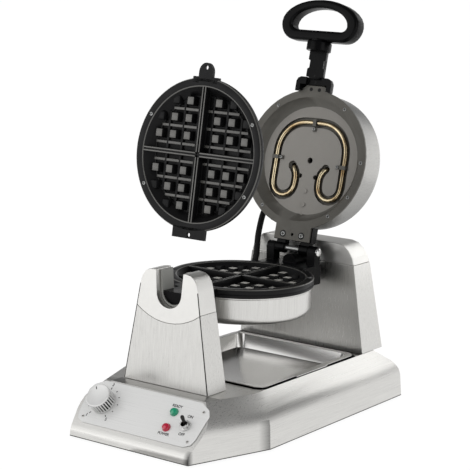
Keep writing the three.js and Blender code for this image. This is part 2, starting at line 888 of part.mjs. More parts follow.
function makeGrid() {
  const back_slope = (cavity_radius - cavity_floor_radius) / cavity_depth;
  const back_top = cavity_radius - back_slope * flange_thickness + grid_wall;
  const back_low = back_top - back_slope * (grid_back_depth - flange_thickness);
  const bowl = revolved([
    [0, -grid_back_depth], [back_low, -grid_back_depth], [back_top, -flange_thickness],
    [rim_radius, -flange_thickness], [rim_radius, 0], [cavity_radius, 0],
    [cavity_floor_radius, -cavity_depth], [0, -cavity_depth],
  ]);
  const low = -cavity_depth - post_clear / 4;
  const inside = cavityFill(low, -divider_clear, divider_draft / 2);
  const field = gridCross().add(gridRibs()).intersect(inside).add(gridPosts());
  const side_up = Math.sqrt(grid_screw_ring ** 2 - grid_screw_side ** 2);
  const holes = [];
  for (const [sx, sy] of [[1, 1], [-1, 1], [-1, -1], [1, -1]]) {
    holes.push(rodAlongZ(grid_screw_hole, [-flange_thickness - cut_overrun, cut_overrun],
      sx * grid_screw_side, sy * side_up, small_steps));
  }
  return cutAll(bowl.add(field), holes);
}

function addGridTabs(grid) {
  const span = [-flange_thickness, 0];
  const tip = rim_radius + grid_tab_reach;
  const round = grid_tab_width / 2;
  const inner = rim_radius - grid_shoulder_reach;
  const tab = new THREE.Shape();
  tab.moveTo(-round, inner);
  tab.lineTo(round, inner);
  tab.lineTo(round, tip - round);
  tab.absarc(0, tip - round, round, 0, 180 * deg, false);
  const shoulder = grid_shoulder_width / 2;
  const foot = grid_foot_tab_width / 2;
  const extras = joined([
    prismAlongZ(tab, [-grid_tab_thickness, 0]),
    block([-shoulder, shoulder], [0, rim_radius + grid_shoulder_reach / 4], span),
    block([-foot, foot], [-rim_radius - grid_foot_tab_reach, 0], [-grid_tab_thickness, 0]),
  ]).subtract(rodAlongZ(rim_radius - grid_shoulder_reach / 2, [-far, far], 0, 0, turn_steps));
  return cutAll(grid.add(extras), [
    rodAlongZ(grid_tab_hole, [-far, far], 0, tip - grid_tab_hole * 2, small_steps),
    rodAlongZ(grid_tab_hole, [-far, far], 0, -rim_radius - grid_foot_tab_reach / 2, small_steps),
  ]);
}

// Casting behind each grid: rim plane at zero, recess facing up, handle side towards +Y
function tubePath() {
  const points = [];
  const depth = -casting_depth - tube_sink;
  const add = (x, y, z) => points.push(new THREE.Vector3(x, y, z));
  const half = [];
  half.push([leg_end_side, -leg_end_drop, depth - terminal_depth]);
  half.push([leg_end_side, -leg_end_drop, depth - terminal_depth / 2]);
  half.push([leg_end_side - tube_sink, -leg_end_drop - tube_sink, depth - tube_radius / 2]);
  half.push([leg_end_side - tube_radius, -leg_end_drop - tube_radius, depth]);
  const hook_side = crown_side - hook_radius;
  half.push([hook_side - hook_radius + tube_sink, -leg_top_drop, depth]);
  for (let i = 0; i <= 8; i += 1) {
    const turn = 180 * deg + i * 180 * deg / 8;
    half.push([hook_side + hook_radius * Math.cos(turn), -hook_drop + hook_radius * Math.sin(turn), depth]);
  }
  const bend_side = crown_side - crown_bend;
  const bend_up = crown_top - crown_bend;
  half.push([crown_side, (bend_up - hook_drop) / 2, depth]);
  for (let i = 0; i <= 6; i += 1) {
    const turn = i * 90 * deg / 6;
    half.push([bend_side + crown_bend * Math.cos(turn), bend_up + crown_bend * Math.sin(turn), depth]);
  }
  for (const [x, y, z] of half) add(x, y, z);
  add(0, crown_top, depth);
  for (const [x, y, z] of half.slice().reverse()) add(-x, y, z);
  return new THREE.CatmullRomCurve3(points, false, 'centripetal');
}

function roundTube(path, radius, steps) {
  const ring = new THREE.Shape();
  for (let i = 0; i < tube_sides; i += 1) {
    const turn = i * 360 * deg / tube_sides;
    const [x, y] = [radius * Math.cos(turn), radius * Math.sin(turn)];
    if (i === 0) ring.moveTo(x, y);
    else ring.lineTo(x, y);
  }
  return solid(new THREE.ExtrudeGeometry(ring, { steps, bevelEnabled: false, extrudePath: path }));
}

const heater_path = tubePath();
const heater_steps = 64;

function makeHeater() {
  return roundTube(heater_path, tube_radius, heater_steps);
}

// The trench is the flat part of the tube path, widened to both sides
function makeTrench(floor) {
  const flat = heater_path.getSpacedPoints(heater_steps)
    .filter((point) => point.z > -casting_depth - tube_sink - tube_radius / 4);
  const left = [];
  const right = [];
  flat.forEach((point, i) => {
    const before = flat[Math.max(i - 1, 0)];
    const after = flat[Math.min(i + 1, flat.length - 1)];
    const run = new THREE.Vector2(after.x - before.x, after.y - before.y).normalize();
    left.push([point.x - run.y * trench_width / 2, point.y + run.x * trench_width / 2]);
    right.unshift([point.x + run.y * trench_width / 2, point.y - run.x * trench_width / 2]);
  });
  return joined([
    prismAlongZ(outlineOf([...left, ...right]), [floor, 0]),
    rodAlongZ(trench_width / 2, [floor, 0], leg_end_side, -leg_end_drop),
    rodAlongZ(trench_width / 2, [floor, 0], -leg_end_side, -leg_end_drop),
  ]);
}

function castingBowl() {
  const slope = (cavity_radius - casting_floor_radius) / casting_depth;
  const back_top = cavity_radius - slope * casting_flange + casting_wall;
  const back_low = back_top - slope * (casting_bottom - casting_flange);
  return revolved([
    [0, -casting_bottom], [back_low, -casting_bottom], [back_top, -casting_flange],
    [rim_radius, -casting_flange], [rim_radius, 0], [cavity_radius, 0],
    [casting_floor_radius, -casting_depth], [0, -casting_depth],
  ]);
}

function makeCasting() {
  const trench_floor = -casting_depth - tube_sink - tube_radius - trench_play;
  const through = [-casting_bottom - cut_overrun, cut_overrun];
  const screw_holes = casting_screw_angles.map((angle) => rodAlongZ(casting_screw_hole, through,
    casting_screw_ring * Math.cos(angle * deg), casting_screw_ring * Math.sin(angle * deg), small_steps));
  return cutAll(castingBowl(), [
    makeTrench(trench_floor),
    rodAlongZ(terminal_hole, through, leg_end_side, -leg_end_drop, small_steps),
    rodAlongZ(terminal_hole, through, -leg_end_side, -leg_end_drop, small_steps),
    rodAlongZ(casting_hole, through, 0, 0, small_steps),
    ...screw_holes,
  ]);
}

const heel_start = -rim_radius - casting_heel_reach;

function makeLidCasting() {
  const plate = [-casting_flange, 0];
  const tab = casting_tab_width / 2;
  const heel = casting_heel_width / 2;
  const through = [-casting_bottom - cut_overrun, cut_overrun];
  const outside = rodAlongZ(rim_radius - tube_sink, [-far, far], 0, 0, turn_steps);
  const root = tab + casting_tab_spread;
  const crest = rim_radius + casting_tab_reach;
  const lugs = prismAlongZ(outlineOf([[-root, 0], [root, 0], [root, rim_radius], [tab, crest],
    [-tab, crest], [-root, rim_radius]]), plate)
    .add(block([-heel, heel], [heel_start, 0], plate))
    .subtract(outside);
  const floor = [-casting_depth - tube_sink, -casting_depth + casting_boss_height];
  const bosses = boss_drop_shares.map((share) =>
    rodAlongZ(casting_boss_radius, floor, 0, -share * rim_radius, small_steps)
      .intersect(rodAlongZ(casting_floor_radius + casting_boss_radius, [-far, 0], 0, 0, turn_steps)));
  const cast = joined([makeCasting(), lugs, ...bosses]);
  return cutAll(cast, [
    rodAlongZ(casting_pilot_hole, through, casting_pilot_side, -casting_pilot_drop, small_steps),
    rodAlongZ(casting_pilot_hole, through, -casting_pilot_side, -casting_pilot_drop, small_steps),
    rodAlongZ(heel_slot_radius, through, 0, heel_start + heel_screw_back, small_steps),
    rodAlongZ(casting_tab_hole, through, casting_tab_hole_side, rim_radius, small_steps),
    rodAlongZ(casting_tab_hole, through, -casting_tab_hole_side, rim_radius, small_steps),
  ]);
}

// A clip hooks over the tube and is screwed down on one side
function makeClip() {
  const [low, high] = [seat_gap, seat_gap + clip_sheet];
  const inside = tube_radius + 2 * seat_gap;
  const crest = inside - tube_sink;
  const outside = inside + clip_sheet;
  const outline = outlineOf([
    [-outside, -tube_sink], [-inside, -tube_sink], [-inside, crest], [inside, crest], [inside, low],
    [clip_foot, low], [clip_foot, high], [outside, high], [outside, crest + clip_sheet],
    [-outside, crest + clip_sheet],
  ]);
  return prismAlongY(outline, [-clip_width / 2, clip_width / 2]).translate([0, 0, -casting_depth]);
}

// Steel drum behind a casting, open towards it
function makeDrum(depth) {
  const lip = -casting_flange - seat_gap;
  const inner = drum_radius - drum_sheet;
  const outer_arc = [];
  const inner_arc = [];
  for (let i = 0; i <= bend_steps; i += 1) {
    const turn = i * 90 * deg / bend_steps;
    const [side, down] = [Math.sin(turn), Math.cos(turn)];
    const centre = drum_radius - drum_round;
    const inner_round = drum_round - drum_sheet;
    outer_arc.push([centre + drum_round * side, -depth + drum_round - drum_round * down]);
    inner_arc.unshift([centre + inner_round * side, -depth + drum_round - inner_round * down]);
  }
  return revolved([
    [0, -depth], ...outer_arc, [drum_radius, lip], [inner, lip], ...inner_arc,
    [0, -depth + drum_sheet],
  ]);
}

// Radial frame for a gland on the drum wall
function wallPlace([x, height], rear) {
  const y = rear * Math.sqrt(drum_radius ** 2 - x ** 2);
  return { x, y, height, heading: Math.atan2(y, x) };
}

function radial(shape, place) {
  return shape.rotate([0, 90, place.heading / deg]).translate([place.x, place.y, place.height]);
}

function wallHole(place) {
  return radial(rodAlongZ(lead_gland_radius + seat_gap, [-lead_gland_length, lead_gland_length],
    0, 0, rod_steps), place);
}

function makeLeadGland(place) {
  const inside = -drum_sheet - lead_gland_length / 3;
  const outline = [
    [lead_radius + lead_play, inside], [lead_gland_radius, inside], [lead_gland_radius, seat_gap * 2],
    [lead_gland_flange, seat_gap * 2], [lead_gland_flange, lead_gland_length / 3],
    [lead_gland_radius - 1, lead_gland_length], [lead_radius + lead_play, lead_gland_length],
  ];
  return radial(tubeOf(outline), place);
}

// A turned ring: a closed profile that doesn't touch the axis
function tubeOf(profile, steps = rod_steps) {
  return revolved([...profile, profile[0]], steps);
}

const lid_gland_place = wallPlace(lead_lid_point, 1);
const drum_gland_place = wallPlace(lead_drum_point, 1);

// Lower half of the iron, about the turning axis
const casting_drop = -rim_plane;
const outer_clear = rodAlongZ(rim_radius + seat_gap, [-far, far], 0, 0, turn_steps);

function makeLowerHousing() {
  return makeDrum(drum_depth).translate([0, 0, casting_drop]).subtract(wallHole(drum_gland_place));
}

function makeRearJournal() {
  const body = block([-ear_outer, ear_outer], [0, hinge_block_back],
    [-hinge_block_low, -hinge_block_high]).subtract(outer_clear);
  const ears = [];
  for (const side of [-1, 1]) {
    const span = side < 0 ? [-ear_outer, -ear_inner] : [ear_inner, ear_outer];
    const post = outlineOf([
      [hinge_back - knuckle_radius, -hinge_block_low / 2], [hinge_back + knuckle_radius, -hinge_block_low / 2],
      [hinge_back + knuckle_radius, hinge_rise], [hinge_back - knuckle_radius, hinge_rise],
    ]);
    ears.push(prismAlongX(post, span).add(rodAlongX(knuckle_radius, span, hinge_back, hinge_rise)));
  }
  const shaft = rodAlongY(shaft_radius, [shaft_start, shaft_end], 0, 0);
  return cutAll(joined([body, ...ears, shaft]), [
    rodAlongY(shaft_bore, [shaft_start + 1, shaft_end + cut_overrun], 0, 0),
    rodAlongX(pin_radius + pin_play, [-far, far], hinge_back, hinge_rise),
    block([-knuckle_outer - seat_gap, knuckle_outer + seat_gap], [bracket_back, hinge_block_back + cut_overrun],
      [shaft_radius + seat_gap, far]),
  ]);
}

function makeHingePin() {
  const shank = rodAlongX(pin_radius, [-pin_reach, pin_reach], hinge_back, hinge_rise);
  const head = [ear_outer + seat_gap, ear_outer + pin_head_height];
  return joined([
    shank,
    rodAlongX(pin_head_radius, head, hinge_back, hinge_rise),
    rodAlongX(pin_head_radius, [-head[1], -head[0]], hinge_back, hinge_rise),
  ]);
}

function makeStopCollar() {
  return rodAlongY(shaft_radius + seat_gap + collar_wall, [collar_start, collar_start + collar_width], 0, 0)
    .subtract(rodAlongY(shaft_radius + seat_gap, [0, far], 0, 0));
}

// A turned bar whose profile gives radius against distance in front of the axis middle
function tubeless(profile, steps = rod_steps) {
  const [first, last] = [profile[0], profile[profile.length - 1]];
  return revolved([[0, first[1]], ...profile, [0, last[1]]], steps).rotate([90, 0, 0]);
}

// The yoke is a short drum with a chamfer on its front corner
const yokeForm = tubeless([
  [yoke_radius, 0], [yoke_radius, yoke_end - yoke_corner],
  [yoke_radius - yoke_corner / 3, yoke_end - yoke_corner / 3], [yoke_radius - yoke_corner, yoke_end],
], turn_steps);

function makeFrontJournal() {
  const below = block([-far, far], [-far, far], [-far, -half_gap]);
  const pin = rodAlongY(journal_radius, [-boss_end + journal_short, -yoke_end + 1], 0, 0, rod_steps);
  return yokeForm.subtract(outer_clear).add(pin).intersect(below);
}

// Upper half of the iron, in the place it takes when shut
const turnedOver = (shape) => shape.rotate([180, 0, 0]).translate([0, 0, rim_plane]);

function makeLidHousing() {
  return turnedOver(makeDrum(lid_drum_depth)).subtract(wallHole(lid_gland_place));
}

// The upper grid's tab reaches into a pocket in the yoke and the shaft
const pocket_half = grid_tab_width / 2 + pocket_play;
const tabPocket = block([-pocket_half, pocket_half], [-rim_radius - grid_tab_reach - pocket_play, 0],
  [-far, grid_tab_thickness + 2 * seat_gap]);

function makeHandleYoke() {
  const above = block([-far, far], [-far, far], [half_gap, far]);
  const tab = casting_tab_width / 2 + casting_tab_spread + seat_gap;
  return cutAll(yokeForm.intersect(above), [
    outer_clear,
    tabPocket,
    block([-tab, tab], [-rim_radius - casting_tab_reach - 2 * seat_gap, 0],
      [0, rim_plane + casting_flange + seat_gap]),
  ]);
}

// A half-round arm as far as the notch, fully round beyond it
function makeHandleShaft() {
  const start = yoke_end + seat_gap;
  const arm = tubeless([
    [flare_radius, start], [flare_radius, flare_end], [neck_radius, flare_end + 1],
    [neck_radius, neck_end], [boss_radius, neck_end], [boss_radius, boss_end + 1],
  ]).intersect(block([-far, far], [-far, far], [half_gap, far]));
  const web = block([-web_half, web_half], [-boss_end, -start], [half_gap, web_height]);
  const stop = tubeless([[stop_radius, boss_end], [stop_radius, grip_start - seat_gap]]);
  return joined([arm, web, stop]).subtract(tabPocket);
}

// A D lying on its flat side: a straight heel, two tight corners and one long arch
function arched({ half, heel, low, belly, high }) {
  const side = heel + (half - heel) * grip_bow_share;
  const shape = new THREE.Shape();
  const foot = belly - (belly - low) * grip_bow_share;
  const head = belly + (high - belly) * grip_bow_share;
  shape.moveTo(-heel, low);
  shape.lineTo(heel, low);
  shape.bezierCurveTo(side, low, half, foot, half, belly);
  shape.bezierCurveTo(half, head, half * grip_bow_share, high, 0, high);
  shape.bezierCurveTo(-half * grip_bow_share, high, -half, head, -half, belly);
  shape.bezierCurveTo(-half, foot, -side, low, -heel, low);
  return shape;
}

function makeHandleGrip() {
  const half = grip_width / 2;
  const thick = [-grip_thickness / 2, grip_thickness / 2];
  const outside = arched({
    half, heel: grip_heel_half, low: grip_start, belly: grip_start + grip_belly, high: grip_end,
  });
  const hole = arched({
    half: grip_hole_half,
    heel: grip_hole_heel_half,
    low: grip_hole_start,
    belly: grip_hole_start + grip_hole_belly,
    high: grip_hole_end,
  });
  return prismAlongZ(outside, thick)
    .intersect(prismAlongX(roundedBox([grip_start, grip_end], thick, grip_round), [-half, half]))
    .intersect(prismAlongY(roundedBox([-half, half], thick, grip_round), [grip_start, grip_end]))
    .subtract(prismAlongZ(hole, [-far, far]))
    .rotate([180, 0, 0]);
}

function makeHingeBracket() {
  const low = rim_plane + casting_flange + seat_gap;
  const plate = block([-bracket_half, bracket_half], [0, bracket_back], [low, low + bracket_height]);
  const arms = [];
  for (const span of [[-knuckle_outer, -knuckle_inner], [knuckle_inner, knuckle_outer]]) {
    arms.push(block(span, [bracket_back - 1, hinge_back], [hinge_rise - knuckle_radius / 2,
      hinge_rise + knuckle_radius - 1]));
    arms.push(rodAlongX(knuckle_radius, span, hinge_back, hinge_rise));
  }
  return cutAll(joined([plate, ...arms]), [
    outer_clear,
    rodAlongX(pin_radius + pin_play, [-far, far], hinge_back, hinge_rise),
  ]);
}

// Controls, in panel coordinates: X right, Y up the slope, Z out of the slope
const plate_face = seat_gap + plate_sheet;

function makeControlPlate() {
  const shoulder = plate_high - plate_cut;
  const outline = outlineOf([
    [-plate_foot_half + plate_corner, plate_low], [plate_foot_half - plate_corner, plate_low],
    [plate_foot_half - plate_corner / 4, plate_low + plate_corner / 3],
    [plate_foot_half, plate_low + plate_corner],
    [plate_side_half, shoulder], [plate_side_half - plate_corner / 3, shoulder + plate_cut / 2],
    [plate_top_half, plate_high], [-plate_top_half, plate_high],
    [-plate_side_half + plate_corner / 3, shoulder + plate_cut / 2], [-plate_side_half, shoulder],
    [-plate_foot_half, plate_low + plate_corner],
    [-plate_foot_half + plate_corner / 4, plate_low + plate_corner / 3],
  ]);
  return cutAll(prismAlongZ(outline, [seat_gap, plate_face]), panel_holes);
}

function makeKnob() {
  const base = plate_face + knob_lift;
  const star = [];
  for (let i = 0; i < knob_ribs * 2; i += 1) {
    const turn = i * 180 * deg / knob_ribs;
    const radius = i % 2 === 0 ? knob_radius : knob_radius - knob_rib_depth;
    star.push([radius * Math.cos(turn), radius * Math.sin(turn)]);
  }
  const top = base + knob_height;
  const envelope = revolved([
    [0, base], [knob_radius, base], [knob_radius, top - knob_skirt],
    [knob_face_radius, top], [0, top],
  ], turn_steps);
  return prismAlongZ(outlineOf(star), [base, top])
    .intersect(envelope)
    .add(rodAlongZ(spindle_radius, [-thermostat_length / 2, base + 1], 0, 0, small_steps))
    .translate([knob_side * -1, knob_up, 0]);
}

function makeThermostat() {
  const top = -base_sheet - 2 * seat_gap;
  return rodAlongZ(thermostat_radius, [top - thermostat_length, top], -knob_side, knob_up)
    .subtract(rodAlongZ(spindle_radius + spindle_play, [-thermostat_length / 2 - 1, cut_overrun],
      -knob_side, knob_up, small_steps));
}

function makeLamp(up) {
  const seat = plate_face + seat_gap;
  return revolved([
    [0, -lamp_stem_length], [lamp_stem, -lamp_stem_length], [lamp_stem, seat], [lamp_radius, seat],
    [lamp_radius, seat + lamp_height / 2], [lamp_radius - 1, seat + lamp_height - 1],
    [lamp_stem, seat + lamp_height], [0, seat + lamp_height],
  ], rod_steps).translate([lamp_side, up, 0]);
}

const switch_floor = -base_sheet - cut_overrun;

function makeSwitchBushing() {
  const nut = plate_face + seat_gap;
  return rodAlongZ(bushing_radius, [switch_floor, bushing_height], switch_side, switch_up)
    .add(rodAlongZ(bushing_nut, [nut, nut + bushing_nut_thickness], switch_side, switch_up, 6))
    .subtract(rodAlongZ(bushing_bore, [-far, far], switch_side, switch_up, rod_steps));
}

function makeSwitchBody() {
  const top = switch_floor - seat_gap;
  return block([switch_side - switch_body_width / 2, switch_side + switch_body_width / 2],
    [switch_up - switch_body_length / 2, switch_up + switch_body_length / 2],
    [top - switch_body_depth, top]);
}

function makeSwitchLever() {
  const tip = lever_length - lever_tip;
  const rod = revolved([[0, 0], [lever_root, 0], [lever_tip, tip], [0, tip]], small_steps)
    .add(solid(new THREE.SphereGeometry(lever_ball, small_steps, small_steps / 2)))
    .add(solid(new THREE.SphereGeometry(lever_tip, small_steps, small_steps / 2).translate(0, 0, tip)));
  return rod.rotate([-lever_tilt, 0, 0]).translate([switch_side, switch_up, lever_pivot_up]);
}

// Mains connection
function makeTerminalBlock() {
  const low = cover_floor + cover_sheet + seat_gap;
  const left = -inlet_side - block_width / 2;
  const body = block([left, left + block_width], [block_rear - block_depth, block_rear],
    [low, low + block_height]);
  const pitch = block_width / block_poles;
  const slots = [];
  for (let i = 0; i < block_poles; i += 1) {
    slots.push(rodAlongY(block_slot / 2, [block_rear - block_depth / 3, far],
      left + (i + 1 / 2) * pitch, low + block_height / 2, small_steps));
  }
  return cutAll(body, slots);
}

function makeCordGland() {
  const inner = base_rear - inlet_length;
  const wall = base_rear - wall_draft;
  return joined([
    rodAlongY(inlet_radius, [inner, base_rear + inlet_nut_thickness], -inlet_side, inlet_height),
    rodAlongY(inlet_nut, [base_rear + seat_gap, base_rear + inlet_nut_thickness + 1],
      -inlet_side, inlet_height, 6),
    rodAlongY(inlet_nut, [inner + 1, wall - wall_draft - base_sheet - inlet_nut_thickness / 2],
      -inlet_side, inlet_height, 6),
    rodAlongY(inlet_radius - 1, [base_rear, base_front], -inlet_side, inlet_height),
  ]).subtract(rodAlongY(inlet_bore, [-far, far], -inlet_side, inlet_height));
}

// Assembly
const machine = new THREE.Group();
machine.name = 'waffle_maker';

function addBase() {
  piece(machine, 'base_shell', brushed_steel, makeBaseShell());
  piece(machine, 'bottom_cover', zinc_plate, makeBottomCover());
  piece(machine, 'foot_front_left', black_rubber, makeFoot(-foot_side, -foot_front));
  piece(machine, 'foot_front_right', black_rubber, makeFoot(foot_side, -foot_front));
  piece(machine, 'foot_rear_left', black_rubber, makeFoot(-foot_side, foot_rear));
  piece(machine, 'foot_rear_right', black_rubber, makeFoot(foot_side, foot_rear));
  piece(machine, 'tray_well', brushed_steel, makeTrayWell());
  piece(machine, 'drip_tray', bright_steel, makeDripTray());
  piece(machine, 'front_tower_shell', brushed_steel, makeFrontTowerShell());
  piece(machine, 'front_tower_cap', satin_cast, makeFrontTowerCap());
  piece(machine, 'notch_liner', black_phenolic, makeNotchLiner());
  piece(machine, 'rear_tower_shell', brushed_steel, makeRearTowerShell());
  piece(machine, 'rear_tower_cap', satin_cast, makeRearTowerCap());
  piece(machine, 'rear_bearing', bright_steel, makeRearBearing());
  piece(machine, 'terminal_block', black_phenolic, makeTerminalBlock());
  piece(machine, 'cord_gland', black_rubber, makeCordGland());
}

function addPanel() {
  const panel = new THREE.Group();
  panel.position.set(0, -base_front, lip_height);
  panel.rotation.x = panel_slope;
  machine.add(panel);
  piece(panel, 'control_plate', label_satin, makeControlPlate());
  piece(panel, 'control_knob', turned_aluminium, makeKnob());
  piece(panel, 'thermostat', zinc_plate, makeThermostat());
  piece(panel, 'ready_lamp', green_lens, makeLamp(ready_lamp_up));
  piece(panel, 'power_lamp', red_lens, makeLamp(power_lamp_up));
  piece(panel, 'switch_bushing', bright_steel, makeSwitchBushing());
  piece(panel, 'switch_body', black_phenolic, makeSwitchBody());
  piece(panel, 'switch_lever', bright_steel, makeSwitchLever());
}

function addLowerHalf() {
  const rotor = new THREE.Group();
  rotor.position.set(0, 0, axis_height);
  machine.add(rotor);
  piece(rotor, 'lower_housing', brushed_steel, makeLowerHousing());
  piece(rotor, 'lower_casting', grey_casting, makeCasting().translate([0, 0, casting_drop]));
  piece(rotor, 'lower_heater', heater_brass, makeHeater().translate([0, 0, casting_drop]));
  piece(rotor, 'lower_grid_plate', nonstick, makeGrid());
  piece(rotor, 'front_journal', black_phenolic, makeFrontJournal());
  piece(rotor, 'rear_journal', black_phenolic, makeRearJournal());
  piece(rotor, 'hinge_pin', bright_steel, makeHingePin());
  piece(rotor, 'stop_collar', zinc_plate, makeStopCollar());
  piece(rotor, 'lower_lead_gland', black_rubber, makeLeadGland(drum_gland_place));
}

function addLid() {
  const lid = new THREE.Group();
  lid.position.set(0, hinge_back, axis_height + hinge_rise);
  lid.rotation.x = -lid_opening * deg;
  machine.add(lid);
  const shut = new THREE.Group();
  shut.position.set(0, -hinge_back, -hinge_rise);
  lid.add(shut);
  piece(shut, 'lid_housing', brushed_steel, makeLidHousing());
  piece(shut, 'lid_casting', grey_casting, turnedOver(makeLidCasting()));
  piece(shut, 'lid_heater', heater_brass, turnedOver(makeHeater()));
  const clip = makeClip();
  piece(shut, 'heater_clip_top', zinc_plate,
    turnedOver(clip.rotate([0, 0, -90]).translate([0, crown_top, 0])));
  piece(shut, 'heater_clip_left', zinc_plate, turnedOver(clip.translate([-crown_side, 0, 0])));
  piece(shut, 'heater_clip_right', zinc_plate,
    turnedOver(clip.rotate([0, 0, 180]).translate([crown_side, -clip_shift, 0])));
  piece(shut, 'lid_hinge_bracket', black_phenolic, makeHingeBracket());
  piece(shut, 'handle_yoke', black_phenolic, makeHandleYoke());
  piece(shut, 'handle_shaft', black_phenolic, makeHandleShaft());
  piece(shut, 'handle_grip', black_phenolic, makeHandleGrip());
  piece(shut, 'lid_lead_gland', black_rubber, makeLeadGland(lid_gland_place));
  return shut;
}

// The lead hangs from the open lid to the lower drum in one loose bow
function outwardOf(place) {
  return new THREE.Vector3(Math.cos(place.heading), Math.sin(place.heading), 0);
}

function addLead(shut) {
  machine.updateMatrixWorld(true);
  const from = new THREE.Vector3(lid_gland_place.x, lid_gland_place.y, lid_gland_place.height)
    .applyMatrix4(shut.matrixWorld);
  const out = outwardOf(lid_gland_place).transformDirection(shut.matrixWorld);
  const to = new THREE.Vector3(drum_gland_place.x, drum_gland_place.y,
    axis_height + drum_gland_place.height);
  const into = outwardOf(drum_gland_place);
  const clear = lead_gland_length + seat_gap;
  const start = from.clone().addScaledVector(out, -drum_sheet);
  const end = to.clone().addScaledVector(into, -drum_sheet);
  const above = from.clone().addScaledVector(out, clear);
  const below = to.clone().addScaledVector(into, clear);
  const hang = above.clone().lerp(below, 1 / 3).add(new THREE.Vector3(...lead_hang));
  const bow = above.clone().lerp(below, 2 / 3).add(new THREE.Vector3(...lead_bow));
  const path = new THREE.CatmullRomCurve3([
    start, start.clone().lerp(above, 1 / 2), above,
    above.clone().addScaledVector(out, lead_radius), hang, bow,
    below.clone().addScaledVector(into, lead_radius), below, end.clone().lerp(below, 1 / 2), end,
  ], false, 'centripetal');
  piece(machine, 'lid_lead', black_rubber, roundTube(path, lead_radius, 36));
}

function addLooseGrid() {
  const loose = new THREE.Group();
  loose.position.set(0, -loose_grid_front, loose_grid_height);
  loose.rotation.x = Math.PI / 2 - loose_grid_lean * deg;
  machine.add(loose);
  piece(loose, 'upper_grid_plate', nonstick, addGridTabs(makeGrid()));
}

addBase();
addPanel();
addLowerHalf();
addLead(addLid());
addLooseGrid();

export default machine;
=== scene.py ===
"""Studio scene of a flip waffle maker with its lid open and its upper grid taken off."""
from math import atan2, cos, hypot, pi, radians, sin, sqrt

import bmesh
import bpy
from mathutils import Matrix, Vector
from mathutils.geometry import interpolate_bezier


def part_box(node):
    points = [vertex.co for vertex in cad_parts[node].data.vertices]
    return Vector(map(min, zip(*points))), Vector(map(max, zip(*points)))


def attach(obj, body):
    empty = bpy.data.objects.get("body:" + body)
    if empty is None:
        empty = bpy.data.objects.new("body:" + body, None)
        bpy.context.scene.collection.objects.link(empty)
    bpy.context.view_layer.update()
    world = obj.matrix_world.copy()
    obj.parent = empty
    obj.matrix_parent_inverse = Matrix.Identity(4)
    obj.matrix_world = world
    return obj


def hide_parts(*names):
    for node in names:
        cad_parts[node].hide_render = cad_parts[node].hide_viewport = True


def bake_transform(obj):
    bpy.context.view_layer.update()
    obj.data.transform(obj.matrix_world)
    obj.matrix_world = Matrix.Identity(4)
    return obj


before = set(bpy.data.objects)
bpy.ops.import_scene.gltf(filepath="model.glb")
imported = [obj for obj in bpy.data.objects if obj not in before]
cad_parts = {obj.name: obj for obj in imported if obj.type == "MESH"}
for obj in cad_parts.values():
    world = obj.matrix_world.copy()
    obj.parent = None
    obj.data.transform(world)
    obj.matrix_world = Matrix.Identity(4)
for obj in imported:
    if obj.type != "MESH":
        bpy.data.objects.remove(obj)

bl_info = {
    "name": "Flip Waffle Maker",
    "version": (1, 0, 0),
    "blender": (4, 5, 0),
    "location": "View3D > Sidebar > Waffle Maker",
    "description": "Dresses a packed flip waffle maker with detailed parts, finishes and a studio stage",
    "category": "Add Mesh",
}


def placed(at, turn=0.0, axis="Z"):
    """The place of something turned about one axis and then shifted."""
    return Matrix.Translation(at) @ Matrix.Rotation(turn, 4, axis)


def aimed(at, towards, axis="Z"):
    """The place of something at one point whose axis points at another."""
    facing = (Vector(towards) - Vector(at)).to_track_quat(axis, "Y").to_matrix().to_4x4()
    return Matrix.Translation(at) @ facing


# Driving sizes in millimetres, as in the CAD model
MM = 0.001
AXIS_HEIGHT = 199.0
HINGE_BACK, HINGE_RISE, LID_OPENING = 131.0, 18.0, 103.0
RIM_PLANE = 8.3
PANEL_FOOT, PANEL_SLOPE = (0, -246, 14), atan2(58.0, 56.0)
LOOSE_GRID_MIDDLE, LOOSE_GRID_LEAN = (0, -111, 378), 8.2

# Rounding in metres of small mouldings and of the control plate
FINE_EDGE, PLATE_EDGE = 0.0003, 0.0002

# Heights over the panel's seat, and places along and up the control plate
PLATE_FACE = 1.3
INK_LEVEL = PLATE_FACE + 0.05
DIAL = (-66, 46)
LAMP_SIDE, READY_UP, POWER_UP = 46.5, 56, 32.6
SWITCH_SIDE, SWITCH_UP = 73, 41

# Each group's own millimetre frame, turned into the row frame in metres
ROW = Matrix.Scale(MM, 4)
ROTOR = ROW @ placed((0, 0, AXIS_HEIGHT))
LOWER_RECESS = ROTOR @ placed((0, 0, -RIM_PLANE))
LID = (
    ROW
    @ placed((0, HINGE_BACK, AXIS_HEIGHT + HINGE_RISE), -radians(LID_OPENING), "X")
    @ placed((0, -HINGE_BACK, -HINGE_RISE))
)
LID_RECESS = LID @ placed((0, 0, RIM_PLANE), pi, "X")
PANEL = ROW @ placed(PANEL_FOOT, PANEL_SLOPE, "X")
LOOSE_GRID = ROW @ placed(LOOSE_GRID_MIDDLE, radians(90 - LOOSE_GRID_LEAN), "X")


def linear(hex_colour):
    """An sRGB hex colour as the linear RGBA that Blender's nodes take."""
    channels = [int(hex_colour[i : i + 2], 16) / 255 for i in (0, 2, 4)]
    curve = [c / 12.92 if c <= 0.04045 else ((c + 0.055) / 1.055) ** 2.4 for c in channels]
    return (*curve, 1.0)


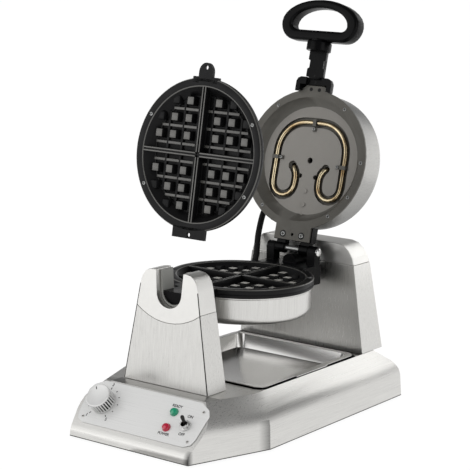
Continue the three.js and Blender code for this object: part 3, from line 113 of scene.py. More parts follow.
class WaffleSizes(bpy.types.PropertyGroup):
    """Sizes of the small forms that the detailed parts add."""

    edge: bpy.props.FloatProperty(
        name="Edge rounding", description="Radius on bent sheet and moulded edges",
        default=0.0008, min=0.0, max=0.003, unit="LENGTH")
    bead: bpy.props.FloatProperty(
        name="Rim bead", description="Radius of the rolled bead at the drum's mouth",
        default=0.0011, min=0.0003, max=0.002, unit="LENGTH")
    screw_head: bpy.props.FloatProperty(
        name="Screw head", description="Radius of the pan screw heads that hold the grids",
        default=0.0026, min=0.001, max=0.006, unit="LENGTH")
    groove: bpy.props.FloatProperty(
        name="Corner joint", description="Width of the open joint along the tower's corners",
        default=0.0024, min=0.0005, max=0.004, unit="LENGTH")
    letter: bpy.props.FloatProperty(
        name="Lettering", description="Height of the printed figures on the control plate",
        default=0.0046, min=0.002, max=0.008, unit="LENGTH")


class WaffleFinishes(bpy.types.PropertyGroup):
    """Colours of the main finishes."""

    steel: bpy.props.FloatVectorProperty(
        name="Stainless steel", description="Brushed sheet of the base, towers and drums",
        subtype="COLOR", size=4, default=linear("D5D4D1"), min=0, max=1)
    coating: bpy.props.FloatVectorProperty(
        name="Non-stick coating", description="Dark coat of the grid plates",
        subtype="COLOR", size=4, default=linear("0F0F10"), min=0, max=1)
    phenolic: bpy.props.FloatVectorProperty(
        name="Phenolic", description="Black moulding of the handle and journals",
        subtype="COLOR", size=4, default=linear("070708"), min=0, max=1)
    brass: bpy.props.FloatVectorProperty(
        name="Heater sheath", description="Heat-tinted tube of the heaters",
        subtype="COLOR", size=4, default=linear("D8C9A8"), min=0, max=1)


class WaffleStage(bpy.types.PropertyGroup):
    """The studio's lamps and camera."""

    key: bpy.props.FloatProperty(
        name="Key lamp", description="Power of the large soft lamp on the left",
        default=20.0, min=0.0, max=500.0, unit="POWER")
    fill: bpy.props.FloatProperty(
        name="Fill lamp", description="Power of the soft lamp on the right",
        default=8.0, min=0.0, max=500.0, unit="POWER")
    rear: bpy.props.FloatProperty(
        name="Rear lamp", description="Power of the high soft lamp behind, which the side mirrors",
        default=3.0, min=0.0, max=500.0, unit="POWER")
    sky: bpy.props.FloatProperty(
        name="Room light", description="Strength of the even light from all round",
        default=0.75, min=0.0, max=2.0)
    lens: bpy.props.FloatProperty(
        name="Lens", description="Focal length that frames the machine as photographed",
        default=127.6, min=20, max=300, unit="CAMERA")


def build_settings():
    """The three groups of settings that the sidebar shows."""
    scene = bpy.context.scene
    return scene.waffle_sizes, scene.waffle_finishes, scene.waffle_stage


# Materials

def add(tree, kind, links=None, **settings):
    """Adds one node, sets its values and joins its inputs to other nodes' outputs."""
    made = tree.nodes.new(kind)
    for name, value in settings.items():
        setattr(made, name, value)
    for socket, value in (links or {}).items():
        if isinstance(value, bpy.types.NodeSocket):
            tree.links.new(value, made.inputs[socket])
        else:
            made.inputs[socket].default_value = value
    return made


def new_material(name, colour, **sockets):
    """A material with its Principled shader's values set, its node tree and the shader."""
    made = bpy.data.materials.new(name)
    made.use_nodes = True
    shader = made.node_tree.nodes["Principled BSDF"]
    for socket, value in {"Base Color": colour, **sockets}.items():
        shader.inputs[socket.replace("_", " ")].default_value = value
    return made, made.node_tree, shader


def per_metre(size):
    """How often a pattern of a size in millimetres comes in a metre, as textures count it."""
    return 1 / (size * MM)


def toned(colour, share):
    """A colour made darker or lighter by a share."""
    return [min(1, channel * share) for channel in colour[:3]] + [1]


def join_finish(tree, shader, colour, gloss, relief, depth, height):
    """Joins a finish's colour, its gloss and its relief, up to a height in mm, to the shader."""
    bump = add(tree, "ShaderNodeBump", {
        "Height": relief.outputs["Fac"], "Strength": depth, "Distance": height * MM})
    tree.links.new(colour.outputs[2], shader.inputs["Base Color"])
    tree.links.new(gloss.outputs[0], shader.inputs["Roughness"])
    tree.links.new(bump.outputs[0], shader.inputs["Normal"])


def brushed_stainless(name, scratches, colour, depth=0.25, spread=0.14, metallic=1.0):
    """Stainless sheet, belt-brushed one way: long fine scratches blur the reflections across them."""
    made, tree, shader = new_material(name, colour, Metallic=metallic)
    place = add(tree, "ShaderNodeTexCoord").outputs["Object"]
    # The scratches' size in mm along each axis, coarser than real ones so that they show
    stretch = add(tree, "ShaderNodeMapping", {
        "Vector": place, "Scale": [per_metre(size) for size in scratches]})
    scratch = add(tree, "ShaderNodeTexNoise",
                  {"Vector": stretch.outputs[0], "Scale": 1.0, "Detail": 4.0, "Roughness": 0.65})
    smear = add(tree, "ShaderNodeTexNoise",
                {"Vector": place, "Scale": per_metre(71.4), "Detail": 2.0})
    gloss = add(tree, "ShaderNodeMapRange", {
        "Value": scratch.outputs["Fac"], "From Min": 0.3, "From Max": 0.7,
        "To Min": 0.25, "To Max": 0.4})
    streak = add(tree, "ShaderNodeMapRange", {
        "Value": scratch.outputs["Fac"], "From Min": 0.36, "From Max": 0.64})
    tone = add(tree, "ShaderNodeMix", {
        "Factor": streak.outputs[0], 6: toned(colour, 1 - spread),
        7: toned(colour, 1 + spread * 0.6)}, data_type="RGBA")
    faint = add(tree, "ShaderNodeMath", {0: smear.outputs["Fac"], 1: 0.5}, operation="MULTIPLY")
    worn = add(tree, "ShaderNodeMix", {
        "Factor": faint.outputs[0], 6: tone.outputs[2], 7: colour}, data_type="RGBA")
    join_finish(tree, shader, worn, gloss, scratch, depth, height=0.06)
    return made


def darkened(made, shares):
    """Multiplies a finish's colour by each share that a function's nodes give for a place."""
    tree = made.node_tree
    shader = tree.nodes["Principled BSDF"]
    colour = shader.inputs["Base Color"].links[0].from_socket
    place = add(tree, "ShaderNodeTexCoord").outputs["Object"]
    for share in shares(tree, place):
        colour = add(tree, "ShaderNodeVectorMath", {0: colour, "Scale": share.outputs[0]},
                     operation="SCALE").outputs[0]
    tree.links.new(colour, shader.inputs["Base Color"])
    return made


def towards_drum_ends(tree, place):
    """The open lid's drum, darker towards its top and its foot: painted shade."""
    drum_middle, clear, full = 0.335, 0.02, 0.1
    height = add(tree, "ShaderNodeSeparateXYZ", {0: place}).outputs["Z"]
    middle = add(tree, "ShaderNodeMath", {0: height, 1: drum_middle}, operation="SUBTRACT")
    away = add(tree, "ShaderNodeMath", {0: middle.outputs[0]}, operation="ABSOLUTE")
    return [add(tree, "ShaderNodeMapRange", {
        "Value": away.outputs[0], "From Min": clear, "From Max": full, "To Min": 0.56,
        "To Max": 0.2}, interpolation_type="SMOOTHSTEP")]


def towards_bends(tree, place):
    """The casing, darker at the side's bend and, near the floor, at the nose's right corner: painted
    shade.
    """
    height = add(tree, "ShaderNodeSeparateXYZ", {0: place}).outputs["Z"]
    flat = add(tree, "ShaderNodeVectorMath", {0: place, 1: (1, 1, 0)}, operation="MULTIPLY")
    blur = 0.002
    shares = []
    for bend, reach, tone, top in (((0.14, -0.121, 0), 0.019, 0.34, 0.1),
                                   ((0.0983, -0.246, 0), 0.0085, 0.1, 0.019)):
        away = add(tree, "ShaderNodeVectorMath", {0: flat.outputs[0], 1: bend}, operation="DISTANCE")
        near = add(tree, "ShaderNodeMapRange", {
            "Value": away.outputs["Value"], "From Max": reach, "To Min": tone})
        above = add(tree, "ShaderNodeMapRange", {
            "Value": height, "From Min": top - blur, "From Max": top + blur})
        shares.append(add(tree, "ShaderNodeMath", {0: near.outputs[0], 1: above.outputs[0]},
                          operation="MAXIMUM"))
    return shares


def grained(name, colour, grain, depth, height, gloss, spread, **sockets):
    """A surface with its grain and relief in mm, its range of gloss and its faint clouds of tone."""
    made, tree, shader = new_material(name, colour, **sockets)
    grains_in_a_cloud = 22
    # Grains under 1 mm are drawn coarser than real ones so that they show
    place = add(tree, "ShaderNodeTexCoord").outputs["Object"]
    relief = add(tree, "ShaderNodeTexNoise", {
        "Vector": place, "Scale": per_metre(grain), "Detail": 3.0, "Roughness": 0.6})
    cloud = add(tree, "ShaderNodeTexNoise", {
        "Vector": place, "Scale": per_metre(grain * grains_in_a_cloud), "Detail": 2.0})
    shine = add(tree, "ShaderNodeMapRange", {
        "Value": cloud.outputs["Fac"], "From Min": 0.3, "From Max": 0.7,
        "To Min": gloss[0], "To Max": gloss[1]})
    tone = add(tree, "ShaderNodeMix", {
        "Factor": cloud.outputs["Fac"], 6: toned(colour, 1 - spread),
        7: toned(colour, 1 + spread)}, data_type="RGBA")
    join_finish(tree, shader, tone, shine, relief, depth, height)
    return made


def blasted_stainless():
    """Bead-blasted cast stainless of the tower caps: a fine even matt that reflects softly."""
    return grained("blasted stainless", linear("E2E1DE"), grain=0.417, depth=0.12, height=0.05,
                   gloss=(0.34, 0.44), spread=0.05, Metallic=1.0)


def polished_stainless():
    """Polished stainless of the bearing, switch bushing and pin's dome: near mirror, faintly wiped."""
    return grained("polished stainless", linear("D9D9D8"), grain=11.1, depth=0.05, height=0.1,
                   gloss=(0.06, 0.16), spread=0.03, Metallic=1.0)


def drawn_stainless():
    """Deep-drawn sheet of the tray: bright, with the soft blur that drawing leaves."""
    return grained("drawn stainless", linear("D2D1CF"), grain=16.7, depth=0.08, height=0.2,
                   gloss=(0.15, 0.24), spread=0.04, Metallic=1.0)


def nylon_liner():
    """Moulded nylon of the notch liner: grey, with a dull shine."""
    return grained("nylon liner", linear("8C8C88"), grain=1.25, depth=0.1, height=0.08,
                   gloss=(0.38, 0.5), spread=0.1)


def nonstick_coat(colour):
    """Sprayed non-stick coat on cast aluminium: dark, slightly pebbled, with a soft sheen."""
    return grained("non-stick coat", colour, grain=1.11, depth=0.25, height=0.12,
                   gloss=(0.34, 0.5), spread=0.18, Specular_IOR_Level=0.16)


def worn_coat():
    """The same coat, lighter and grainy grey on the tops of posts and ribs: painted highlight."""
    return grained("worn non-stick coat", linear("545350"), grain=1.11, depth=0.3, height=0.12,
                   gloss=(0.24, 0.36), spread=0.3, Metallic=0.2, Specular_IOR_Level=0.7)


def rubbed_coat():
    """The coat on the lower grid's post tops, painted bright grey as a highlight."""
    return grained("rubbed coat", linear("B2B0AA"), grain=1.11, depth=0.3, height=0.12,
                   gloss=(0.22, 0.34), spread=0.3, Metallic=0.25, Specular_IOR_Level=0.8)


def oxidised_edge():
    """Painted shadow along the cut edge of the casing's sheet and painted shade on the strip behind the
    well: dark and half matt.
    """
    return grained("oxidised sheet edge", linear("454442"), grain=1.43, depth=0.1, height=0.06,
                   gloss=(0.4, 0.5), spread=0.15, Metallic=0.6)


def sand_cast_aluminium():
    """Bare sand casting: pale grey and gritty, its sand drawn at twice the real size to show."""
    return grained("sand-cast aluminium", linear("8B8883"), grain=0.625, depth=0.5, height=0.2,
                   gloss=(0.5, 0.7), spread=0.12, Metallic=0.2)


def sooty_casting():
    """The casting's rim and wall, darker than its floor: brown-black and half matt."""
    return grained("sooty casting", linear("5A5853"), grain=0.625, depth=0.4, height=0.2,
                   gloss=(0.42, 0.6), spread=0.2, Metallic=0.4, Specular_IOR_Level=0.4)


def heater_sheath(colour):
    """Steel heater sheath tinted by heat: straw gold, turning browner in patches."""
    made, tree, shader = new_material("heat-tinted sheath", colour, Metallic=1.0)
    place = add(tree, "ShaderNodeTexCoord").outputs["Object"]
    patch = add(tree, "ShaderNodeTexNoise",
                {"Vector": place, "Scale": per_metre(22.2), "Detail": 3.0})
    tint = add(tree, "ShaderNodeValToRGB", {"Fac": patch.outputs["Fac"]})
    stops = ((0.32, linear("A58A63")), (0.62, colour))
    for element, (position, tone) in zip(tint.color_ramp.elements, stops):
        element.position = position
        element.color = tone
    gloss = add(tree, "ShaderNodeMapRange", {
        "Value": patch.outputs["Fac"], "To Min": 0.28, "To Max": 0.14})
    tree.links.new(tint.outputs[0], shader.inputs["Base Color"])
    tree.links.new(gloss.outputs[0], shader.inputs["Roughness"])
    return made


def phenolic_moulding(colour):
    """Compression-moulded phenolic: black, smooth, with a low waxy gloss."""
    return grained("phenolic moulding", colour, grain=1.43, depth=0.1, height=0.08,
                   gloss=(0.24, 0.36), spread=0.15, Specular_IOR_Level=0.09)


def moulded_rubber():
    """Moulded rubber: black and matt, with a fine bloom."""
    return grained("moulded rubber", linear("121213"), grain=0.833, depth=0.3, height=0.1,
                   gloss=(0.6, 0.8), spread=0.2, Specular_IOR_Level=0.25)


def label_film():
    """Printed polyester film over a steel plate: silver grey with a fine level brush."""
    return brushed_stainless("label film", (83.3, 0.588, 0.588), linear("DADAD9"),
                             depth=0.1, spread=0.04, metallic=0.1)


def turned_aluminium():
    """Satin-lacquered turned aluminium of the dial: fine rings from the tool under a pale coat."""
    made, tree, shader = new_material("turned aluminium", linear("DCDCDB"), Roughness=0.3,
                                      Metallic=0.25)
    # Rings coarser than the tool's own so that they show; at scale 1 a wave is a tenth of pi long
    ring_spacing = 0.827
    place = add(tree, "ShaderNodeTexCoord").outputs["Object"]
    shift = add(tree, "ShaderNodeVectorMath", {0: place, 1: PANEL @ Vector((*DIAL, 0))},
                operation="SUBTRACT")
    lie = add(tree, "ShaderNodeMapping", {
        "Vector": shift.outputs[0], "Rotation": (-PANEL_SLOPE, 0, 0)})
    rings = add(tree, "ShaderNodeTexWave", {
        "Vector": lie.outputs[0], "Scale": per_metre(ring_spacing) * pi / 10, "Distortion": 0.4},
        wave_type="RINGS", rings_direction="Z")
    bump = add(tree, "ShaderNodeBump", {
        "Height": rings.outputs["Fac"], "Strength": 0.35, "Distance": 0.08 * MM})
    tree.links.new(bump.outputs[0], shader.inputs["Normal"])
    return made


def lamp_lens(name, colour):
    """Clear tinted polycarbonate dome over an unlit lamp: deep colour with sharp highlights."""
    return new_material(name, colour, Roughness=0.08, Coat_Weight=1.0, Coat_Roughness=0.03)[0]


def zinc_plating():
    """Bright zinc on pressed steel: a cool grey with a fine crystal tone."""
    return grained("zinc plating", linear("A3A4A3"), grain=2.5, depth=0.1, height=0.05,
                   gloss=(0.32, 0.46), spread=0.12, Metallic=0.9)


def blued_steel():
    """Steel of the tray's well and the lever, blackened by heat and oil: dark, half gloss."""
    return grained("blackened steel", linear("2E2D2C"), grain=1.67, depth=0.15, height=0.06,
                   gloss=(0.28, 0.44), spread=0.2, Metallic=0.7)


def printing_ink():
    """Screen-printed ink: a soft black, quite matt."""
    return grained("printing ink", linear("1C1C1D"), grain=1.11, depth=0.05, height=0.02,
                   gloss=(0.55, 0.65), spread=0.05)


def open_joint():
    """The dark inside of an open joint between two sheets."""
    return grained("open joint", linear("0E0E0F"), grain=1.43, depth=0.1, height=0.1,
                   gloss=(0.75, 0.85), spread=0.1)


finishes = {}


def mix_finishes(chosen):
    """Makes every finish once, from the colours the user chose."""
    steel = tuple(chosen.steel)
    upright, lengthwise = (0.667, 0.667, 71.4), (0.667, 71.4, 0.667)
    finishes.update(
        upright=brushed_stainless("stainless, brushed upright", upright, steel),
        lengthwise=brushed_stainless("stainless, brushed lengthwise", lengthwise, steel),
        # The level brushed steel is darkened at the casing's bends: painted shade.
        level=darkened(
            brushed_stainless("stainless, brushed level", (33.3, 33.3, 0.588), steel),
            towards_bends),
        # The round brushed steel is darkened towards the drum's top and foot: painted shade.
        round_brushed=darkened(
            brushed_stainless("stainless, brushed round", (16.7, 16.7, 0.455), steel),
            towards_drum_ends),
        # Darker steel for the deck in front of the front tower: painted shade.
        dulled=brushed_stainless("stainless, dulled", lengthwise, linear("A1A09E")),
        # Painted shadow at the casing's bottom edge and painted shade behind the well.
        hem=oxidised_edge(),
        cap=blasted_stainless(),
        polished=polished_stainless(),
        drawn=drawn_stainless(),
        nylon=nylon_liner(),
        coating=nonstick_coat(tuple(chosen.coating)),
        worn=worn_coat(),
        rubbed=rubbed_coat(),
        casting=sand_cast_aluminium(),
        soot=sooty_casting(),
        blued=blued_steel(),
        sheath=heater_sheath(tuple(chosen.brass)),
        phenolic=phenolic_moulding(tuple(chosen.phenolic)),
        rubber=moulded_rubber(),
        label=label_film(),
        dial=turned_aluminium(),
        green=lamp_lens("green lens", linear("008C66")),
        red=lamp_lens("red lens", linear("B00030")),
        zinc=zinc_plating(),
        ink=printing_ink(),
        joint=open_joint(),
    )


# Making meshes

def turned(profile, steps=96):
    """A closed solid of revolution from (radius, height) pairs that start and end on the axis."""
    made = bmesh.new()
    points = [made.verts.new((radius, 0, height)) for radius, height in profile]
    edges = [made.edges.new(pair) for pair in zip(points, points[1:])]
    bmesh.ops.spin(made, geom=points + edges, cent=(0, 0, 0), axis=(0, 0, 1),
                   angle=2 * pi, steps=steps, use_merge=True)
    bmesh.ops.remove_doubles(made, verts=made.verts, dist=0.001)
    bmesh.ops.recalc_face_normals(made, faces=made.faces)
    return made


def box(size, centre, rounding=0.0, top=1.0):
    """A block, its upper end drawn in to a share of the foot and its edges rounded."""
    made = bmesh.new()
    bmesh.ops.create_cube(made, size=1)
    for point in made.verts:
        if point.co.z > 0:
            point.co.x *= top
            point.co.y *= top
    bmesh.ops.scale(made, vec=size, verts=made.verts)
    if rounding:
        bmesh.ops.bevel(made, geom=made.edges[:], offset=rounding, offset_type="OFFSET",
                        segments=2, profile=0.5, affect="EDGES", material=-1)
    bmesh.ops.translate(made, vec=centre, verts=made.verts)
    return made


def block(width, depth, low, high, at=(0, 0), rounding=0.0, top=1.0):
    """A block that stands between two heights, centred on a point of the plan."""
    return box((width, depth, high - low), (*at, (low + high) / 2), rounding, top)


def as_mesh(name, made):
    """A bmesh as a named mesh, freed once its geometry is taken."""
    mesh = bpy.data.meshes.new(name)
    made.to_mesh(mesh)
    made.free()
    return mesh


def in_scene(name, data):
    """A new object that carries a mesh, a lamp or a camera."""
    made = bpy.data.objects.new(name, data)
    bpy.context.scene.collection.objects.link(made)
    return made


def gathered(parts):
    """Several meshes as one."""
    whole = bmesh.new()
    for part in parts:
        carrier = as_mesh("carrier", part)
        whole.from_mesh(carrier)
        bpy.data.meshes.remove(carrier)
    return whole


def moved(part, place):
    """The same mesh, put where a matrix sends it."""
    bmesh.ops.transform(part, matrix=place, verts=part.verts)
    return part


def cut(part, at, across, near=0.001, **settings):
    """Cuts a mesh along the plane through a point and across a direction."""
    bmesh.ops.bisect_plane(part, geom=part.verts[:] + part.edges[:] + part.faces[:], dist=near,
                           plane_co=at, plane_no=across, **settings)


def thickened(part, height):
    """Gives a flat mesh its thickness, up or down."""
    raised = bmesh.ops.extrude_face_region(part, geom=part.faces[:])["geom"]
    bmesh.ops.translate(part, vec=(0, 0, height),
                        verts=[g for g in raised if isinstance(g, bmesh.types.BMVert)])
    bmesh.ops.recalc_face_normals(part, faces=part.faces)


def marked(part, finish):
    """Gives every face the finish at one place in its piece's list."""
    for face in part.faces:
        face.material_index = finish
    return part


def worn_on_top(part, finish=1):
    """Gives the faces that look up the finish at one place in their piece's list, which paints
    highlights on their tops.
    """
    for face in part.faces:
        face.material_index = finish if face.normal.z > 0.9 else 0
    return part


def merged_copy(name):
    """A CAD node's solid with its loose triangles joined into clean faces, in metres."""
    made = bmesh.new()
    made.from_mesh(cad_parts[name].data)
    bmesh.ops.remove_doubles(made, verts=made.verts, dist=0.000004)
    bmesh.ops.dissolve_limit(made, angle_limit=radians(0.8), verts=made.verts, edges=made.edges,
                             use_dissolve_boundaries=False)
    return made


def show(name, made, place, finish, body, stands_for=(), edge=0.0, crease=32.0, smoothing=0,
         others=()):
    """Puts a finished mesh into the scene on its body and gives it its list of finishes."""
    if place is not None:
        moved(made, place)
    mesh = as_mesh(name, made)
    for chosen in (finish, *others):
        mesh.materials.append(finishes[chosen])
    piece = in_scene(name, mesh)
    mesh.polygons.foreach_set("use_smooth", [True] * len(mesh.polygons))
    mesh.set_sharp_from_angle(angle=radians(crease))
    if edge:
        rounding = piece.modifiers.new("edge rounding", "BEVEL")
        rounding.width = edge
        rounding.segments = 2
        rounding.limit_method = "ANGLE"
        rounding.angle_limit = radians(28)
        rounding.harden_normals = True
    if smoothing:
        soften = piece.modifiers.new("smooth surface", "SUBSURF")
        soften.levels = soften.render_levels = smoothing
    if body:
        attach(piece, body)
    if stands_for:
        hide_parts(*stands_for)
    return piece


def dressed(name, finish, body, edge=0.0, crease=30.0, smoothing=0):
    """Stands a smooth, edge-rounded piece in for a CAD node of the same shape."""
    return show(name + "_finished", merged_copy(name), None, finish, body, (name,),
                edge, crease, smoothing)


def pan_screw(at, radius, height):
    """A pan-head screw on its seat, with a cross recess in the second finish of its piece."""
    head = turned([(0, 0), (radius, 0), (radius, height * 0.35), (radius * 0.82, height * 0.82),
                   (radius * 0.45, height), (0, height)], 16)
    reach, slot, depth = radius * 1.35, radius * 0.42, 0.5
    arms = [marked(box(size, (0, 0, height - 0.2), 0.05), 1)
            for size in ((reach, slot, depth), (slot, reach, depth))]
    return moved(gathered([head] + arms), placed(at))


def screws(name, spots, place, body, radius, height, finish="zinc", recess="joint"):
    """A set of like screws as one piece."""
    show(name, gathered([pan_screw(spot, radius, height) for spot in spots]), place, finish, body,
         others=(recess,))


# Pieces

def marked_casing():
    """The base casing, its faces marked: 1 brushed level, 2 deck in front of the tower, darker as
    painted shade, 3 painted shadow along the bottom edge and painted shade on the strip behind the well.
    """
    hem, deck = 0.0043, 0.0715
    tower_front, tower_side, well_end, rear_tower = -0.168, -0.074, 0.1489, 0.158
    looks_up, slopes, looks_along = 0.98, 0.9, 0.3
    side, back, up = Matrix.Identity(3)
    shell = merged_copy("base_shell")
    for reach, across in ((hem, up), (tower_side, side), (tower_front, back), (well_end, back),
                          (rear_tower, back)):
        cut(shell, across * reach, across, near=0.00001)
    for face in shell.faces:
        middle, facing = face.calc_center_median(), face.normal
        behind_well = middle.z > deck and well_end < middle.y < rear_tower
        # The bottom edge takes painted shadow and the strip behind the well painted shade.
        if middle.z < hem or behind_well:
            face.material_index = 3
        # The deck in front of the front tower takes the darker steel: painted shade.
        elif facing.z > looks_up and middle.y < tower_front and middle.x > tower_side:
            face.material_index = 2
        elif abs(facing.y) > looks_along and facing.z < slopes:
            face.material_index = 1
    return shell


class WAFFLE_OT_base(bpy.types.Operator):
    """Finish the base casing, its cover, feet and cord gland"""

    bl_idname = "waffle.base"
    bl_label = "Base"

    def execute(self, context):
        edge = build_settings()[0].edge
        show("base_shell_finished", marked_casing(), None, "lengthwise", "base", ("base_shell",),
             edge * 1.6, crease=24, others=("level", "dulled", "hem"))
        dressed("bottom_cover", "zinc", "base", crease=32)
        dressed("tray_well", "blued", "base", edge)
        for corner in ("front_left", "front_right", "rear_left", "rear_right"):
            low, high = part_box("foot_" + corner)
            middle = (low + high) / 2
            pad = turned([(0, 0), (11.2, 0), (12.4, 1.0), (13, 3.4), (12.6, 3.7), (0, 3.7)], 48)
            show("foot_pad_" + corner, moved(pad, placed((middle.x / MM, middle.y / MM, 0))), ROW,
                 "rubber", "base", ("foot_" + corner,))
        dressed("cord_gland", "rubber", "base", edge * 0.6)
        return {"FINISHED"}


class WAFFLE_OT_towers(bpy.types.Operator):
    """Finish both towers, with the open joints down their corners and the notch liner"""

    bl_idname = "waffle.towers"
    bl_label = "Towers"

    def execute(self, context):
        sizes = build_settings()[0]
        dressed("front_tower_shell", "upright", "base", sizes.edge * 1.4)
        dressed("rear_tower_shell", "upright", "base", sizes.edge * 1.6)
        dressed("front_tower_cap", "cap", "base", sizes.edge)
        dressed("rear_tower_cap", "cap", "base", sizes.edge * 1.6, crease=26)
        dressed("notch_liner", "nylon", "base", sizes.edge * 0.6)
        dressed("rear_bearing", "polished", "base")
        # The front tower leans in from foot to head, and its left joint is the narrower one
        foot_at, head_at, strip_depth, strip_edge = (69.6, -168.02, 73), (47.6, -165.1, 206), 0.5, 0.08
        joints = []
        for side, share in ((-1, 0.4), (1, 1.0)):
            foot, head = (Vector((side * x, y, z)) for x, y, z in (foot_at, head_at))
            width = sizes.groove / MM * share
            strip = block(width, strip_depth, 0, (head - foot).length, rounding=strip_edge)
            joints.append(moved(strip, aimed(foot, head)))
        show("tower_corner_joints", gathered(joints), ROW, "joint", "base")
        return {"FINISHED"}


class WAFFLE_OT_tray(bpy.types.Operator):
    """Finish the lift-out drip tray"""

    bl_idname = "waffle.tray"
    bl_label = "Drip tray"

    def execute(self, context):
        dressed("drip_tray", "drawn", "tray", build_settings()[0].edge * 0.6, crease=40)
        return {"FINISHED"}


def drum(depth, bead):
    """A drum's pressed shell, recess up: flat bottom, rolled corner, straight wall and bead."""
    radius, corner, sheet, lip, flat = 99.0, 12.0, 1.2, -3.5, 60
    outer, inner = (
        [(radius - corner + bend * sin(turn), corner - depth - bend * cos(turn))
         for turn in (radians(9 * step) for step in range(11))]
        for bend in (corner, corner - sheet))
    rim = [(radius, lip - 3 * bead), (radius + bead * 0.9, lip - 2 * bead),
           (radius + bead * 0.9, lip - bead), (radius, lip), (radius - sheet, lip)]
    return turned([(0, -depth), (flat, -depth)] + outer + rim + inner[::-1]
                  + [(flat, sheet - depth), (0, sheet - depth)], 128)


class WAFFLE_OT_drums(bpy.types.Operator):
    """Build the steel drums of both halves of the iron, with the bead at each mouth"""

    bl_idname = "waffle.drums"
    bl_label = "Drums"

    def execute(self, context):
        bead = build_settings()[0].bead / MM
        lid_depth, lower_depth = 57, 42.7
        show("lid_drum", drum(lid_depth, bead), LID_RECESS, "round_brushed", "lid",
             ("lid_housing",), crease=40)
        show("lower_drum", drum(lower_depth, bead), LOWER_RECESS, "upright", "rotor",
             ("lower_housing",), crease=40)
        return {"FINISHED"}


def grid_bowl():
    """The round bowl of a grid, with painted highlights on both edges of its flange."""
    wall_top, flange_start, flange_end = 90.2, 91.6, 100.8
    bowl = turned([
        (0, -14), (76.2, -14), (77.0, -13.4), (77.5, -11.9), (79.0, -11.7), (80.4, -12.6),
        (81.6, -12), (89.3, -1.5), (wall_top, -0.6), (flange_start, 0), (flange_end, 0),
        (101.6, -0.4), (102, -1.3), (102, -7.2), (101.6, -7.8), (flange_end, -8), (89.3, -8),
        (81.2, -19.0), (80, -19.4), (0, -19.4)], 128)
    # Narrow bands at the flange's edges take painted highlights.
    for face in bowl.faces:
        middle = face.calc_center_median()
        reach = hypot(middle.x, middle.y)
        outer_edge = reach > flange_end and middle.z > -1
        face.material_index = int(wall_top < reach < flange_start or outer_edge)
    return bowl


def waffle_grid():
    """One grid casting, cooking face up: bowl, split dividers, drafted posts and low ribs."""
    pitch, round_floor, wall_foot, wall_depth = 23.4, 80, 80.5, 12
    floor, post_top, rib_top = -15.0, -4.5, -10.6
    lip, lip_foot, lip_top, lip_edge = 2.1, -13.8, -0.4, 0.5
    split_foot, split_floor = -14.4, -2.4
    root_top, root_edge, root_draft = -10.0, 1.0, 0.86
    arm, arm_middle = 88.5, 47.4
    post, post_draft, post_edge = 13.6, 0.76, 0.8
    rib, rib_draft, rib_edge = 4.0, 0.985, 0.7
    boss, boss_foot, boss_top, boss_edge = 5.2, -14.5, -2.7, 0.4
    parts = [grid_bowl()]
    for quarter in range(4):
        turn = Matrix.Rotation(quarter * pi / 2, 4, "Z")
        for side in (-1, 1):
            # The divider lips' tops take painted highlights.
            edge = block(arm, lip, lip_foot, lip_top, (arm_middle, side * lip), lip_edge)
            parts.append(moved(worn_on_top(edge), turn))
        parts.append(moved(block(arm, 2 * lip, split_foot, split_floor, (arm_middle, 0)), turn))
        root = block(arm, 4 * lip, floor, root_top, (arm_middle, 0), root_edge, root_draft)
        parts.append(moved(root, turn))
        for i, j in ((1, 1), (1, 2), (2, 1), (1, 3), (3, 1), (2, 2), (2, 3), (3, 2)):
            made = block(post, post, floor, post_top, (i * pitch, j * pitch), post_edge, post_draft)
            if i + j > 4:
                # The round wall trims the outer posts, here by a plane that leans out at 45 degrees
                outward = Vector((i, j, 0)).normalized()
                cut(made, outward * wall_foot - Vector((0, 0, wall_depth)),
                    outward - Vector((0, 0, 1)), clear_outer=True)
                bmesh.ops.holes_fill(made, edges=made.edges, sides=0)
            else:
                # The inner posts' tops take the third finish: painted highlights.
                worn_on_top(made, 2)
            parts.append(moved(made, turn))
    for shift in (-2.5, -1.5, -0.5, 0.5, 1.5, 2.5):
        across = shift * pitch
        length = 2 * sqrt(round_floor ** 2 - across ** 2)
        for turn in (0, pi / 2):
            made = block(length, rib, floor, rib_top, (0, across), rib_edge, rib_draft)
            # Only the unturned ribs take painted highlights on their tops.
            parts.append(moved(made, Matrix.Rotation(turn, 4, "Z")) if turn else worn_on_top(made))
    parts.append(block(boss, boss, boss_foot, boss_top, rounding=boss_edge))
    return gathered(parts)


def grid_tabs():
    """The loose grid's hanging tab with its hole, the shoulders and the foot tab."""
    hole_radius, thickness, corners = 3.2, 5, 32
    shoulder, shoulder_side, shoulder_up = (10, 9), 15.2, 98.6
    hanging, foot = (22.5, 97, 122, 115.6), (53, -112, -97, -107)
    parts = []
    for width, low, high, hole in (hanging, foot):
        tab = bmesh.new()
        bmesh.ops.create_circle(tab, cap_ends=False, segments=corners, radius=hole_radius)
        bmesh.ops.translate(tab, vec=(0, hole, 0), verts=tab.verts)
        outer = bmesh.ops.create_circle(tab, cap_ends=False, segments=corners, radius=1)["verts"]
        for point in outer:
            x, y = point.co.x, point.co.y
            square = y < 0 or (width, low, high, hole) == foot
            reach = max(abs(x), abs(y)) if square else max(hypot(x, y), abs(x))
            point.co.x = x / reach * width / 2
            point.co.y = (low + high) / 2 + y / reach * (high - low) / 2
        bmesh.ops.bridge_loops(tab, edges=tab.edges[:])
        thickened(tab, -thickness)
        parts.append(tab)
    for side in (-1, 1):
        parts.append(block(*shoulder, -8, 0, (side * shoulder_side, shoulder_up), rounding=0.6))
    return parts


